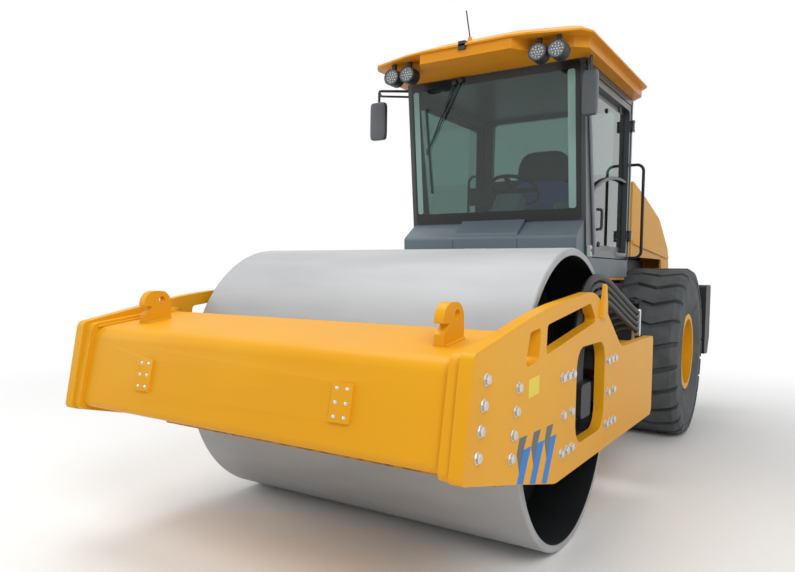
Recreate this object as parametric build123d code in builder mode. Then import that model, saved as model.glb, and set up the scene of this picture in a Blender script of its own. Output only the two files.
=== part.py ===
"""Single-drum vibratory road roller, articulated, with a closed cab.

Millimetres.  -Y is forward (the drum end), +X is the machine's left, +Z is up.
The origin is on the ground, at the middle of the overall length and width.
Side outlines lie on SIDE: u is the distance behind the drum's axle and v the
height above the ground.  A pose is told by the drum axle, the steering pivot, the
cab's foot and the rear axle, and each outline is given from the one it hangs on.
"""
import os
from math import atan2, cos, pi, radians, sin, tan

from build123d import *

os.makedirs("parts", exist_ok=True)

# ---------------------------------------------------------------- driving sizes
NOSE = 1705.0             # front end, ahead of the drum axle
WHEELBASE = 3630.0        # drum axle to rear axle
OVERHANG = 1365.0         # rear axle to the tail
PIVOT_SHARE = 190 / 363   # of the wheelbase, drum axle to steering pivot
JOINT_Z = 780.0           # height of the oscillation axis

DRUM_RADIUS = 850.0
DRUM_WIDTH = 2170.0
DRUM_WALL = 45.0
HEAD_INSET = 330.0        # end of the shell to the outer face of the drum head
HEAD_T = 30.0
STUB_R = 110.0            # stub shaft that carries the drum

PLATE_X = 1195.0          # outer face of a side plate
PLATE_T = 58.0
COLLAR_T = 50.0

TYRE_RADIUS = 807.0       # to the lug tips
TYRE_WIDTH = 595.0
TYRE_X = 895.0            # middle of the tyre
TREAD_DEPTH = 36.0
BEAD_R = 335.0
LUGS = 24
SPINDLE_R = 70.0

CAB_X = 735.0             # outer face of the cab's sides
CAB_WALL = 55.0
CAB_SETBACK = 335.0       # foot of the cab's front, ahead of the pivot
CAB_LENGTH = 1395.0
FLOOR_Z = 1680.0
SILL_Z = 1525.0
HEADER_Z = 3150.0
SCREEN_LEAN = 0.1246      # the windscreen's run for each unit of rise
ROOF_Z = 3368.0
GLASS = 6.0

RAIL_X = 440.0            # inner face of a chassis rail
RAIL_T = 30.0
RAIL_TOP = 1240.0
HOOD_X = 745.0
HOOD_GAP = 60.0           # cab's back to the hood
HOOD_T = 20.0

RUNNING_GAP = 6.0         # between bodies that pass each other
SEAT_GAP = 0.3            # between faces that only meet
PIN_FIT = 0.08            # radial clearance of a pin or shaft in its bore

REAR = WHEELBASE                    # the rear axle, behind the drum axle
PIVOT = WHEELBASE * PIVOT_SHARE
TAIL = REAR + OVERHANG
CAB_FOOT = PIVOT - CAB_SETBACK
CAB_BACK = CAB_FOOT + CAB_LENGTH
HOOD_FRONT = CAB_BACK + HOOD_GAP
HOOD_SKIRT = 2 * TYRE_RADIUS + 102  # height of the hood's lower edge over the tyres
TAIL_FRONT = REAR + TYRE_RADIUS + 123
DRUM_Y = (NOSE - TAIL) / 2
DRUM_END = DRUM_WIDTH / 2
PLATE_IN = PLATE_X - PLATE_T
SIDE = Plane(origin=(0, DRUM_Y, 0), x_dir=(0, 1, 0), z_dir=(1, 0, 0))
SIDES = (("left", 1), ("right", -1))


def save(part, label):
    """Write one named node."""
    part.label = label
    export_step(part, f"parts/{label}.step")


def save_pair(part, label):
    """Write the left-hand piece and its mirror image."""
    for name, side in SIDES:
        save(part if side > 0 else mirror(part, about=Plane.YZ), f"{label}_{name}")


def rounded(*corners):
    """Closed face with straight sides; each corner is (u, v, radius)."""
    count = len(corners)
    bends = []
    for index, (u, v, radius) in enumerate(corners):
        here = Vector(u, v)
        before = (Vector(*corners[index - 1][:2]) - here).normalized()
        after = (Vector(*corners[(index + 1) % count][:2]) - here).normalized()
        half = radians(before.get_angle(after)) / 2
        reach = radius / tan(half)
        middle = here + (before + after).normalized() * (radius / sin(half) - radius)
        bends.append((here + before * reach, middle, here + after * reach))
    with BuildLine(mode=Mode.PRIVATE) as path:
        for index, (start, middle, end) in enumerate(bends):
            if corners[index][2] > 0:
                ThreePointArc(start, middle, end)
            Line(end, bends[(index + 1) % count][0])
    make_face(path.edges())


def mirror_points(points):
    """A half outline on the +x side, closed by its mirror image."""
    return list(points) + [(-x, y, r) for x, y, r in reversed(points)]


def facing(x, u, v):
    """Plane across the machine at a point, looking along +X."""
    return Plane(origin=(x, DRUM_Y + u, v), x_dir=(0, 1, 0), z_dir=(1, 0, 0))


def behind(u, v=0.0):
    """Plane square to the machine's length, looking rearward; local x is -X."""
    return Plane(origin=(0, DRUM_Y + u, v), x_dir=(-1, 0, 0), z_dir=(0, 1, 0))


def level(v, u=0.0, x=0.0):
    """Horizontal plane at a height; local x is X and local y runs rearward."""
    return Plane(origin=(x, DRUM_Y + u, v), x_dir=(1, 0, 0), z_dir=(0, 0, 1))


def axle_plane(x, u, v):
    """Plane through an axle along X; local x is X and local y is the radius."""
    return Plane(origin=(x, DRUM_Y + u, v), x_dir=(1, 0, 0), z_dir=(0, -1, 0))


def axle(u, v):
    """The axle itself."""
    return Axis((0, DRUM_Y + u, v), (1, 0, 0))


# ================================================================= front frame
# Side plate: one flame-cut plate each side with a leaning nose, a hump over the
# drum, a slope behind it and a long tab that carries the rear cross beam.
PLATE = [  # u, v, corner radius
    (-1705, 778, 28), (-1618, 1254, 40), (-830, 1395, 5500), (40, 1462, 480), (300, 1345, 700),
    (704, 1095, 230), (PIVOT - 178, 1095, 35), (PIVOT - 174, 505, 60), (-600, 525, 400), (-1125, 648, 200)]
WINDOW = [(-1005, 1297, 26), (-862, 1311, 26), (-885, 1166, 26), (-1068, 1142, 26)]
SLOT = [(-785, 1176, 20), (-773, 1317, 28), (-42, 1394, 45), (84, 1289, 18)]
ACCESS = (11, 908, 578, 515, 120)     # u, v, length, height, corner radius
EAR = [(150, 1300, 0), (178, 1420, 10), (206, 1500, 8), (232, 1490, 14), (262, 1380, 30), (262, 1300, 0)]
EAR_WIDTH, EAR_SINK = 20.0, 2.0       # upright ear for a lashing chain, welded to the outer face

with BuildPart() as side_plate:
    with BuildSketch(SIDE.offset(PLATE_IN)):
        rounded(*PLATE)
    extrude(amount=PLATE_T)
    with BuildSketch(SIDE.offset(PLATE_IN)):
        rounded(*WINDOW)
        rounded(*SLOT)
        with Locations(ACCESS[:2]):
            RectangleRounded(*ACCESS[2:])
    extrude(amount=PLATE_T, mode=Mode.SUBTRACT)
    with BuildSketch(SIDE.offset(PLATE_X - EAR_SINK)):
        rounded(*EAR)
    extrude(amount=EAR_WIDTH)
save_pair(side_plate.part, "side_plate")

# Front beam: a box with a rounded brow, ended by a thicker collar each side.
BEAM = [(-1668, 795, 40), (-1572, 1222, 90), (-960, 1292, 8), (-975, 700, 8), (-1180, 700, 30)]
COLLAR = [(-1692, 778, 40), (-1597, 1246, 60), (-935, 1316, 12), (-950, 680, 12), (-1185, 680, 40)]
BEAM_END = PLATE_IN - COLLAR_T
PAD_X, PAD_WIDTH, PAD_HEIGHT, PAD_T = 616.0, 104.0, 168.0, 14.0

beam_lean = atan2(BEAM[1][0] - BEAM[0][0], BEAM[1][1] - BEAM[0][1])
pad_plane = Plane(origin=(0, DRUM_Y + BEAM[0][0], BEAM[0][1]), x_dir=(1, 0, 0),
                  z_dir=(0, -cos(beam_lean), sin(beam_lean)))
with BuildPart() as front_beam:
    with BuildSketch(SIDE.offset(-BEAM_END)):
        rounded(*BEAM)
    extrude(amount=2 * BEAM_END)
    for start in (BEAM_END, -PLATE_IN):
        with BuildSketch(SIDE.offset(start)):
            rounded(*COLLAR)
        extrude(amount=COLLAR_T)
    with BuildSketch(pad_plane):
        with Locations((PAD_X, 215), (-PAD_X, 215)):
            RectangleRounded(PAD_WIDTH, PAD_HEIGHT, 6)
    extrude(amount=PAD_T)
save(front_beam.part, "front_beam")

# Lifting hooks: round head with an eye, a nose in front and a mouth below it.
HOOK_X, HOOK_T = 932.0, 46.0
EYE = (-1242, 1374, 25)               # u, v, radius


def beam_top(u):
    """Height of the front beam's top face."""
    (u0, v0, _), (u1, v1, _) = BEAM[1:3]
    return v0 + (v1 - v0) * (u - u0) / (u1 - u0)


with BuildPart() as lifting_hooks:
    for x in (HOOK_X, -HOOK_X):
        with BuildSketch(SIDE.offset(x - HOOK_T / 2)):
            rounded((-1370, beam_top(-1370), 0), (-1370, 1296, 4), (-1318, 1330, 24), (-1318, 1342, 5),
                    (-1376, 1342, 5), (-1376, 1430, 80), (-1172, 1430, 78), (-1172, beam_top(-1172), 0))
            with Locations(EYE[:2]):
                Circle(EYE[2], mode=Mode.SUBTRACT)
        extrude(amount=HOOK_T)
save(lifting_hooks.part, "lifting_hooks")

# Scrapers: an angle with its blade close to the drum, hung on arms.
SCRAPER_HALF = 1070.0
BLADE_REACH = DRUM_RADIUS + 12.0      # blade tip to the drum's axle
ARM_T = 30.0
ARMS = (-930, -560, -190, 190, 560, 930)
BLADE_ANGLE = radians(19)             # below the level of the axle
tip_u = -BLADE_REACH * cos(BLADE_ANGLE)
tip_v = DRUM_RADIUS - BLADE_REACH * sin(BLADE_ANGLE)
with BuildPart() as front_scraper:
    with BuildSketch(SIDE.offset(-SCRAPER_HALF)):
        rounded((tip_u, tip_v, 0), (-1048, 652, 6), (-1048, 676, 0), (-1062, 676, 0), (-1062, 598, 8),
                (tip_u - 6, tip_v - 16, 0))
    extrude(amount=2 * SCRAPER_HALF)
    for x in ARMS:
        with BuildSketch(SIDE.offset(x - ARM_T / 2)):
            rounded((-1150, BEAM[3][1], 0), (-1150, 660, 20), (-1062, 604, 10), (-1040, 640, 0),
                    (-1040, BEAM[3][1], 0))
        extrude(amount=ARM_T)
save(front_scraper.part, "front_scraper")

# Rear cross beam of the drum frame, bored for the oscillation shaft.
CROSS = (PIVOT - 505, PIVOT - 200, 580.0, 1050.0)   # u from, u to, v from, v to
SHAFT_R = 120.0
with BuildPart() as cross_beam:
    with BuildSketch(SIDE.offset(-PLATE_IN)):
        rounded((CROSS[0], CROSS[2], 20), (CROSS[0], CROSS[3], 20),
                (CROSS[1], CROSS[3], 20), (CROSS[1], CROSS[2], 20))
    extrude(amount=2 * PLATE_IN)
    with BuildSketch(behind(CROSS[0] - 1, JOINT_Z)):
        Circle(SHAFT_R + PIN_FIT)
    extrude(amount=CROSS[1] - CROSS[0] + 2, mode=Mode.SUBTRACT)
save(cross_beam.part, "cross_beam")

with BuildPart() as rear_scraper:
    with BuildSketch(SIDE.offset(-SCRAPER_HALF)):
        rounded((-tip_u, tip_v, 0), (1062, 652, 6), (1062, 676, 0), (1076, 676, 0), (1076, 598, 8),
                (6 - tip_u, tip_v - 16, 0))
    extrude(amount=2 * SCRAPER_HALF)
    for x in ARMS:
        with BuildSketch(SIDE.offset(x - ARM_T / 2)):
            rounded((1070, 612, 10), (1070, 672, 10), (CROSS[0], 760, 0), (CROSS[0], 660, 0))
        extrude(amount=ARM_T)
save(rear_scraper.part, "rear_scraper")

# Drum support: rubber blocks on the side plate, a carrier plate and a stub.
BLOCK_U, BLOCK_ROWS = 440.0, (660.0, 850.0, 1040.0)
BLOCK_SIZE = (240.0, 130.0)
BLOCK_T = 80.0
CARRIER_T = 28.0
HEAD_X = DRUM_END - HEAD_INSET
carrier_x = PLATE_IN - BLOCK_T - CARRIER_T
with BuildPart() as rubber_blocks:
    with BuildSketch(facing(PLATE_IN - BLOCK_T, 0, 0)):
        for v in BLOCK_ROWS:
            with Locations((BLOCK_U, v), (-BLOCK_U, v)):
                RectangleRounded(*BLOCK_SIZE, 20)
    extrude(amount=BLOCK_T)
save_pair(rubber_blocks.part, "rubber_blocks")

with BuildPart() as drum_carrier:
    with BuildSketch(facing(carrier_x, 0, DRUM_RADIUS)):
        rounded((-570, -270, 60), (-570, 270, 60), (570, 270, 60), (570, -270, 60))
    extrude(amount=CARRIER_T)
    with BuildSketch(facing(HEAD_X + RUNNING_GAP, 0, DRUM_RADIUS)):
        Circle(240)
    extrude(amount=carrier_x - HEAD_X - RUNNING_GAP)
    with BuildSketch(facing(HEAD_X - 90, 0, DRUM_RADIUS)):
        Circle(STUB_R)
    extrude(amount=100)
save_pair(drum_carrier.part, "drum_carrier")

with BuildPart() as drum_motor:
    with BuildSketch(facing(carrier_x + CARRIER_T, 0, DRUM_RADIUS)):
        Circle(170)
    extrude(amount=40)
    with BuildSketch(facing(carrier_x + CARRIER_T + 40, 0, DRUM_RADIUS)):
        RectangleRounded(190, 190, 30)
    extrude(amount=75)
save_pair(drum_motor.part, "drum_motor")

# Hoses from the left motor: up behind the plate, over its hump, through a stack
# clamp on the cross beam and down into the beam.
HOSE_X = PLATE_IN - 20                # centre line of the bundle
HOSE_BEND = 80.0
CLAMP_U, CLAMP_LENGTH = CROSS[0] + 95, 40.0
HOSES = [  # radius, u at the motor, height over the plate, height in the clamp, x at the beam
    (18, -66, 1500, 1268, 820), (14, -24, 1462, 1222, 860),
    (14, 12, 1428, 1180, 900), (14, 48, 1394, 1138, 940)]
motor_top = DRUM_RADIUS + 95
hose_turn_u = CLAMP_U + CLAMP_LENGTH + 110
with BuildPart() as drum_hoses:
    for radius, motor_u, over_v, clamp_v, end_x in HOSES:
        with BuildLine() as route:
            FilletPolyline((HOSE_X, DRUM_Y + motor_u, motor_top), (HOSE_X, DRUM_Y + motor_u, over_v),
                           (HOSE_X, DRUM_Y + CLAMP_U - 10, clamp_v), (HOSE_X, DRUM_Y + hose_turn_u, clamp_v),
                           (end_x, DRUM_Y + hose_turn_u, clamp_v),
                           (end_x, DRUM_Y + hose_turn_u, CROSS[3]),
                           radius=HOSE_BEND)
        with BuildSketch(Plane(origin=route.line @ 0, z_dir=route.line % 0)):
            Circle(radius)
        sweep(path=route.line)
save(drum_hoses.part, "drum_hoses")

with BuildPart() as hose_clamp:
    with BuildSketch(SIDE.offset(HOSE_X - 26)):
        rounded((CLAMP_U, 1104, 12), (CLAMP_U, 1300, 16), (CLAMP_U + CLAMP_LENGTH, 1300, 16),
                (CLAMP_U + CLAMP_LENGTH, 1104, 12))
    extrude(amount=52)
    with BuildSketch(SIDE.offset(HOSE_X - 26)):
        rounded((CLAMP_U, CROSS[3], 0), (CLAMP_U, 1120, 0), (CLAMP_U + CLAMP_LENGTH, 1120, 0),
                (CLAMP_U + CLAMP_LENGTH, CROSS[3], 0))
    extrude(amount=12)
    with BuildSketch(behind(CLAMP_U - 1)):
        for radius, _, _, clamp_v, _ in HOSES:
            with Locations((-HOSE_X, clamp_v)):
                Circle(radius + PIN_FIT)
    extrude(amount=CLAMP_LENGTH + 2, mode=Mode.SUBTRACT)
save(hose_clamp.part, "hose_clamp")

# ======================================================================== drum
TUBE_R, TUBE_WALL = 200.0, 40.0
shell_in = DRUM_RADIUS - DRUM_WALL
with BuildPart() as drum:
    with BuildSketch(axle_plane(0, 0, DRUM_RADIUS)):
        rounded((-DRUM_END, shell_in, 4), (-DRUM_END, DRUM_RADIUS, 10),
                (DRUM_END, DRUM_RADIUS, 10), (DRUM_END, shell_in, 4))
        for x in (HEAD_X - HEAD_T, -HEAD_X):
            with Locations((x + HEAD_T / 2, (STUB_R + PIN_FIT + shell_in + 10) / 2)):
                Rectangle(HEAD_T, shell_in + 10 - STUB_R - PIN_FIT)
        for x in (HEAD_X - 60, 60 - HEAD_X):
            with Locations((x, (STUB_R + PIN_FIT + TUBE_R) / 2)):
                Rectangle(90, TUBE_R - STUB_R - PIN_FIT)
        with Locations((0, TUBE_R - TUBE_WALL / 2)):
            Rectangle(2 * HEAD_X - 40, TUBE_WALL)
    revolve(axis=axle(0, DRUM_RADIUS))
save(drum.part, "drum")

# ======================================================================= hitch
FLANGE = (CROSS[1] + RUNNING_GAP, 30.0, 230.0)   # u from, thickness, radius
PIN_R = 50.0
POST_R = 110.0
HINGE_LOW, HINGE_HIGH, HINGE_T = 540.0, 1010.0, 40.0
CYL_EYE = (240.0, PIVOT - 80)    # x, u of a rod eye
CYL_BASE = (240.0, PIVOT + 700)  # x, u of a barrel eye
CYL_EYE_R = 42.0
CYL_EYE_T = 60.0
EAR_GAP = 5.0
EAR_T = 22.0
post_low = HINGE_LOW + HINGE_T + EAR_GAP
post_high = HINGE_HIGH - EAR_GAP
with BuildPart() as hitch:
    with BuildSketch(behind(CROSS[0] - RUNNING_GAP - 24, JOINT_Z)):
        Circle(SHAFT_R + 40)
    extrude(amount=24)
    with BuildSketch(behind(CROSS[0] - RUNNING_GAP - 4, JOINT_Z)):
        Circle(SHAFT_R)
    extrude(amount=CROSS[1] - CROSS[0] + 2 * RUNNING_GAP + 8)
    with BuildSketch(behind(FLANGE[0], JOINT_Z)):
        Circle(FLANGE[2])
    extrude(amount=FLANGE[1])
    with BuildSketch(behind(FLANGE[0] + 10, JOINT_Z)):
        RectangleRounded(150, post_high - post_low - 40, 30)
    extrude(amount=PIVOT - FLANGE[0] - 10)
    with BuildSketch(level(post_low, PIVOT)):
        Circle(POST_R)
    extrude(amount=post_high - post_low)
    for v in (JOINT_Z - CYL_EYE_T / 2 - EAR_GAP - EAR_T, JOINT_Z + CYL_EYE_T / 2 + EAR_GAP):
        with BuildSketch(level(v)):
            rounded(*mirror_points([(230, FLANGE[0] + 8, 10), (295, PIVOT - 110, 30), (285, PIVOT - 25, 45),
                                    (190, PIVOT - 35, 40), (110, PIVOT - 100, 20)]))
        extrude(amount=EAR_T)
    with BuildSketch(level(post_low - 1, PIVOT)):
        Circle(PIN_R + PIN_FIT)
    extrude(amount=post_high - post_low + 2, mode=Mode.SUBTRACT)
save(hitch.part, "hitch")

# ============================================================ steering cylinders
BARREL_R, ROD_R = 50.0, 28.0
GLAND = 560.0                    # barrel eye to the gland's face
ROD_LENGTH = 500.0
CYL_PIN_R = 20.0
with BuildPart() as steering_barrel:
    with BuildSketch(behind(CYL_BASE[1] - GLAND, JOINT_Z)):
        with Locations((-CYL_BASE[0], 0)):
            Circle(BARREL_R)
    extrude(amount=GLAND - 72)
    with BuildSketch(level(JOINT_Z - ROD_R, CYL_BASE[1] - 42, CYL_BASE[0])):
        Rectangle(60, 70)
    extrude(amount=2 * ROD_R)
    with BuildSketch(level(JOINT_Z - CYL_EYE_T / 2, CYL_BASE[1], CYL_BASE[0])):
        Circle(CYL_EYE_R)
    extrude(amount=CYL_EYE_T)
    with BuildSketch(behind(CYL_BASE[1] - GLAND - 1, JOINT_Z)):
        with Locations((-CYL_BASE[0], 0)):
            Circle(ROD_R + PIN_FIT)
    extrude(amount=GLAND - 90, mode=Mode.SUBTRACT)
    with BuildSketch(level(JOINT_Z - CYL_EYE_T, CYL_BASE[1], CYL_BASE[0])):
        Circle(CYL_PIN_R + PIN_FIT)
    extrude(amount=2 * CYL_EYE_T, mode=Mode.SUBTRACT)
save_pair(steering_barrel.part, "steering_barrel")

with BuildPart() as steering_rod:
    with BuildSketch(behind(CYL_EYE[1], JOINT_Z)):
        with Locations((-CYL_EYE[0], 0)):
            Circle(ROD_R)
    extrude(amount=ROD_LENGTH)
    with BuildSketch(level(JOINT_Z - CYL_EYE_T / 2, CYL_EYE[1], CYL_EYE[0])):
        Circle(CYL_EYE_R)
    extrude(amount=CYL_EYE_T)
    with BuildSketch(level(JOINT_Z - CYL_EYE_T, CYL_EYE[1], CYL_EYE[0])):
        Circle(CYL_PIN_R)
    extrude(amount=2 * CYL_EYE_T, mode=Mode.SUBTRACT)
save_pair(steering_rod.part, "steering_rod")

# ================================================================ rear chassis
ARCH_Z = TYRE_RADIUS + 158        # underside of the rails over the axle
DECK_T = 24.0                     # plate between the cab and its feet
RAIL = [(PIVOT + 170, 560, 20), (PIVOT + 170, RAIL_TOP, 60), (TAIL_FRONT, RAIL_TOP, 10),
        (TAIL_FRONT, 700, 40), (REAR + 520, 700, 60), (REAR + 330, ARCH_Z, 60), (REAR - 330, ARCH_Z, 60),
        (REAR - 510, 560, 40)]
with BuildPart() as chassis:
    for x in (RAIL_X, -RAIL_X - RAIL_T):
        with BuildSketch(SIDE.offset(x)):
            rounded(*RAIL)
        extrude(amount=RAIL_T)
    for v in (HINGE_LOW, HINGE_HIGH):
        with BuildSketch(level(v)):
            rounded(*mirror_points([(RAIL_X + 5, PIVOT + 500, 0), (RAIL_X + 5, PIVOT + 200, 30),
                                    (90, PIVOT - 105, 70)]))
        extrude(amount=HINGE_T)
    for u, v, height in ((CYL_BASE[1] + 50, 600, 600), (TAIL_FRONT - 60, 760, 440)):
        with BuildSketch(behind(u)):
            with Locations((0, v + height / 2)):
                Rectangle(2 * RAIL_X + 10, height)
        extrude(amount=30)
    for side in (1, -1):
        for v in (JOINT_Z - CYL_EYE_T / 2 - EAR_GAP - EAR_T, JOINT_Z + CYL_EYE_T / 2 + EAR_GAP):
            with BuildSketch(level(v)):
                rounded((side * (CYL_BASE[0] - 50), CYL_BASE[1] + 60, 0),
                        (side * (CYL_BASE[0] - 50), CYL_BASE[1] - 45, 40),
                        (side * (CYL_BASE[0] + 50), CYL_BASE[1] - 45, 40),
                        (side * (CYL_BASE[0] + 50), CYL_BASE[1] + 60, 0))
            extrude(amount=EAR_T)
        with BuildSketch(level(JOINT_Z - CYL_EYE_T, CYL_BASE[1], side * CYL_BASE[0])):
            Circle(CYL_PIN_R)
        extrude(amount=2 * CYL_EYE_T)
    with BuildSketch(level(HINGE_LOW - 12, PIVOT)):
        Circle(PIN_R)
    extrude(amount=HINGE_HIGH - HINGE_LOW + HINGE_T + 24)
    # four feet and the deck plate that carry the cab
    with BuildSketch(level(SILL_Z - SEAT_GAP - DECK_T, (CAB_FOOT + 40 + CAB_BACK) / 2)):
        RectangleRounded(2 * CAB_X - 40, CAB_BACK - CAB_FOOT - 40, 30)
    extrude(amount=DECK_T)
    for u in (CAB_FOOT + 575, CAB_BACK - 96):
        for x in (-520, 520):
            with BuildSketch(level(RAIL_TOP - 60)):
                with Locations((x, u)):
                    Rectangle(140, 120)
            extrude(amount=60)
            with BuildSketch(level(RAIL_TOP)):
                with Locations((x, u)):
                    Circle(60)
            extrude(amount=SILL_Z - RAIL_TOP - DECK_T)
save(chassis.part, "rear_chassis")

# Rear axle: differential, tapered arms, spindles and the pads under the rails.
with BuildPart() as rear_axle:
    with BuildSketch(axle_plane(0, WHEELBASE, TYRE_RADIUS)):
        rounded((-640, 0, 0), (-640, 135, 10), (-330, 140, 60), (-190, 245, 70), (190, 245, 70),
                (330, 140, 60),
                (640, 135, 10), (640, 0, 0))
    revolve(axis=axle(WHEELBASE, TYRE_RADIUS))
    with BuildSketch(facing(-TYRE_X - 20, WHEELBASE, TYRE_RADIUS)):
        Circle(SPINDLE_R)
    extrude(amount=2 * TYRE_X + 40)
    for x in (RAIL_X - 20, -RAIL_X - RAIL_T - 20):
        with BuildSketch(facing(x, WHEELBASE, 0)):
            with Locations((0, ARCH_Z - 60)):
                Rectangle(260, 120)
        extrude(amount=RAIL_T + 40)
save(rear_axle.part, "rear_axle")

with BuildPart() as engine_block:
    with BuildSketch(level(RAIL_TOP, REAR + 150)):
        RectangleRounded(720, 900, 40)
    extrude(amount=720)
    for u in (REAR - 180, REAR + 480):
        with BuildSketch(level(RAIL_TOP, u)):
            Rectangle(2 * RAIL_X + 2 * RAIL_T, 110)
        extrude(amount=45)
save(engine_block.part, "engine_block")

with BuildPart() as cooler:
    with BuildSketch(level(RAIL_TOP, TAIL_FRONT - 80)):
        Rectangle(1040, 150)
    extrude(amount=640)
save(cooler.part, "cooler")

# Engine bay sides between the tyres, and the two posts that carry the hood.
HOOD_PIVOT = (HOOD_FRONT + 32, 2360.0)   # u, v of the hood's hinge
BAY = (HOOD_FRONT - 10, TAIL_FRONT - 20, 535.0, 20.0)   # u from, u to, inner face, thickness
HOOD_PIN_R = 12.0
with BuildPart() as engine_bay:
    for side in (1, -1):
        with BuildSketch(SIDE.offset(side * (RAIL_X + RAIL_T / 2) - RAIL_T / 2)):
            with Locations((HOOD_PIVOT[0], (RAIL_TOP + HOOD_PIVOT[1]) / 2)):
                Rectangle(48, HOOD_PIVOT[1] - RAIL_TOP)
            with Locations(HOOD_PIVOT):
                Circle(24)
        extrude(amount=RAIL_T)
        with BuildSketch(SIDE.offset(side * (RAIL_X + RAIL_T / 2 + 25) - 25)):
            with Locations(HOOD_PIVOT):
                Circle(HOOD_PIN_R)
        extrude(amount=50)
    for side in (1, -1):
        with BuildSketch(SIDE.offset(side * (BAY[2] + BAY[3] / 2) - BAY[3] / 2)):
            rounded((BAY[0], RAIL_TOP - 60, 0), (BAY[0], HOOD_SKIRT - 16, 0),
                    (BAY[1], HOOD_SKIRT - 16, 0), (BAY[1], RAIL_TOP - 60, 0))
        extrude(amount=BAY[3])
        shelf_x = (RAIL_X + RAIL_T + BAY[2]) / 2
        with BuildSketch(level(RAIL_TOP - 60, (BAY[0] + BAY[1]) / 2, side * shelf_x)):
            Rectangle(BAY[2] - RAIL_X - RAIL_T, BAY[1] - BAY[0])
        extrude(amount=30)
save(engine_bay.part, "engine_bay")

# Counterweight across the tail, with chamfered lower corners and a drawbar jaw.
TAIL_TOP = 1440.0
JAW_U, JAW_V, JAW_R = TAIL - 50, 760.0, 26.0
with BuildPart() as counterweight:
    with BuildSketch(SIDE.offset(5 - PLATE_X)):
        rounded((TAIL_FRONT, 700, 30), (TAIL_FRONT, TAIL_TOP, 30), (TAIL - 90, TAIL_TOP, 60),
                (TAIL - 90, 860, 40), (TAIL - 205, 690, 40))
    extrude(amount=2 * PLATE_X - 10)
    for v in (JAW_V - 45, JAW_V + 20):
        with BuildSketch(level(v)):
            rounded((-70, TAIL - 215, 0), (-70, JAW_U + 40, 40), (70, JAW_U + 40, 40), (70, TAIL - 215, 0))
        extrude(amount=25)
    with BuildSketch(level(JAW_V - 60, JAW_U)):
        Circle(JAW_R)
    extrude(amount=120, mode=Mode.SUBTRACT)
save(counterweight.part, "counterweight")

# Side tanks ahead of the tyres, each with a pair of steps.
tank_back = REAR - TYRE_RADIUS - 38
TANK = (tank_back - 310, tank_back, 640.0, 1470.0)   # u from, u to, v from, v to
with BuildPart() as side_tank:
    with BuildSketch(SIDE.offset(RAIL_X + RAIL_T)):
        rounded((TANK[0], TANK[2], 50), (TANK[0], TANK[3], 30),
                (TANK[1], TANK[3], 30), (TANK[1], TANK[2], 50))
    extrude(amount=CAB_X - RAIL_X - RAIL_T)
save_pair(side_tank.part, "side_tank")
with BuildPart() as steps:
    for v in (620, 960, 1300):
        with BuildSketch(level(v)):
            rounded((CAB_X, TANK[0] + 20, 0), (CAB_X, TANK[1] - 20, 0),
                    (910, TANK[1] - 20, 20), (910, TANK[0] + 20, 20))
        extrude(amount=30)
    for u in (TANK[0] + 20, TANK[1] - 32):
        with BuildSketch(SIDE.offset(CAB_X)):
            with Locations((u + 6, 975)):
                Rectangle(12, 710)
        extrude(amount=150)
save_pair(steps.part, "steps")

# ==================================================================== wheels
LUG_HALF = 80.0                  # half a lug's length round the tyre
LUG_WAVE = [(-292, -30), (-110, 32), (60, -32), (292, 34)]   # x across, shift round the tyre
half_tyre = TYRE_WIDTH / 2
carcass_r = TYRE_RADIUS - TREAD_DEPTH
with BuildPart() as tyre:
    with BuildSketch(axle_plane(TYRE_X, WHEELBASE, TYRE_RADIUS)):
        rounded(*mirror_points([(235, BEAD_R, 0), (250, 400, 60), (half_tyre, 540, 120), (285, 715, 60),
                                (235, carcass_r, 60)]))
    revolve(axis=axle(WHEELBASE, TYRE_RADIUS))
    for index in range(LUGS):
        turn = 2 * pi * index / LUGS
        out = Vector(0, sin(turn), cos(turn))
        foot = Vector(TYRE_X, DRUM_Y + WHEELBASE, TYRE_RADIUS) + out * (carcass_r - 70)
        with BuildSketch(Plane(origin=foot, x_dir=(1, 0, 0), z_dir=out)):
            rounded(*[(x, wave - LUG_HALF, 0) for x, wave in LUG_WAVE],
                    *[(x, wave + LUG_HALF, 0) for x, wave in reversed(LUG_WAVE)])
        extrude(amount=70 + TREAD_DEPTH + 20)
    with BuildSketch(axle_plane(TYRE_X, WHEELBASE, TYRE_RADIUS)):
        rounded(*mirror_points([(330, carcass_r - 90, 0), (half_tyre, carcass_r - 60, 0),
                                (half_tyre - 14, carcass_r + 4, 0), (half_tyre - 60, TYRE_RADIUS - 1, 0)]),
                (-330, TYRE_RADIUS + 60, 0), (330, TYRE_RADIUS + 60, 0))
    revolve(axis=axle(WHEELBASE, TYRE_RADIUS), mode=Mode.SUBTRACT)
save_pair(tyre.part, "tyre")

RIM_WALL = 20.0
rim_out = BEAD_R - SEAT_GAP
with BuildPart() as rim:
    with BuildSketch(axle_plane(TYRE_X, WHEELBASE, TYRE_RADIUS)):
        rounded(*mirror_points([(262, rim_out - RIM_WALL, 0), (262, 366, 5), (252, 366, 4),
                                (245, rim_out, 0)]))
        rounded((-60, 150, 0), (-60, rim_out - 10, 0), (-36, rim_out - 10, 0), (-36, 150, 0))
        rounded((-235, SPINDLE_R + PIN_FIT, 0), (-235, 190, 10), (-20, 190, 10), (90, 165, 30), (110, 90, 20),
                (110, 0, 0), (30, 0, 0), (30, SPINDLE_R + PIN_FIT, 0))
    revolve(axis=axle(WHEELBASE, TYRE_RADIUS))
save_pair(rim.part, "rim")

# ======================================================================== cab
def screen_u(v):
    """The cab front's distance behind the drum axle at a height."""
    return CAB_FOOT - (v - FLOOR_Z) * SCREEN_LEAN


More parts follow.
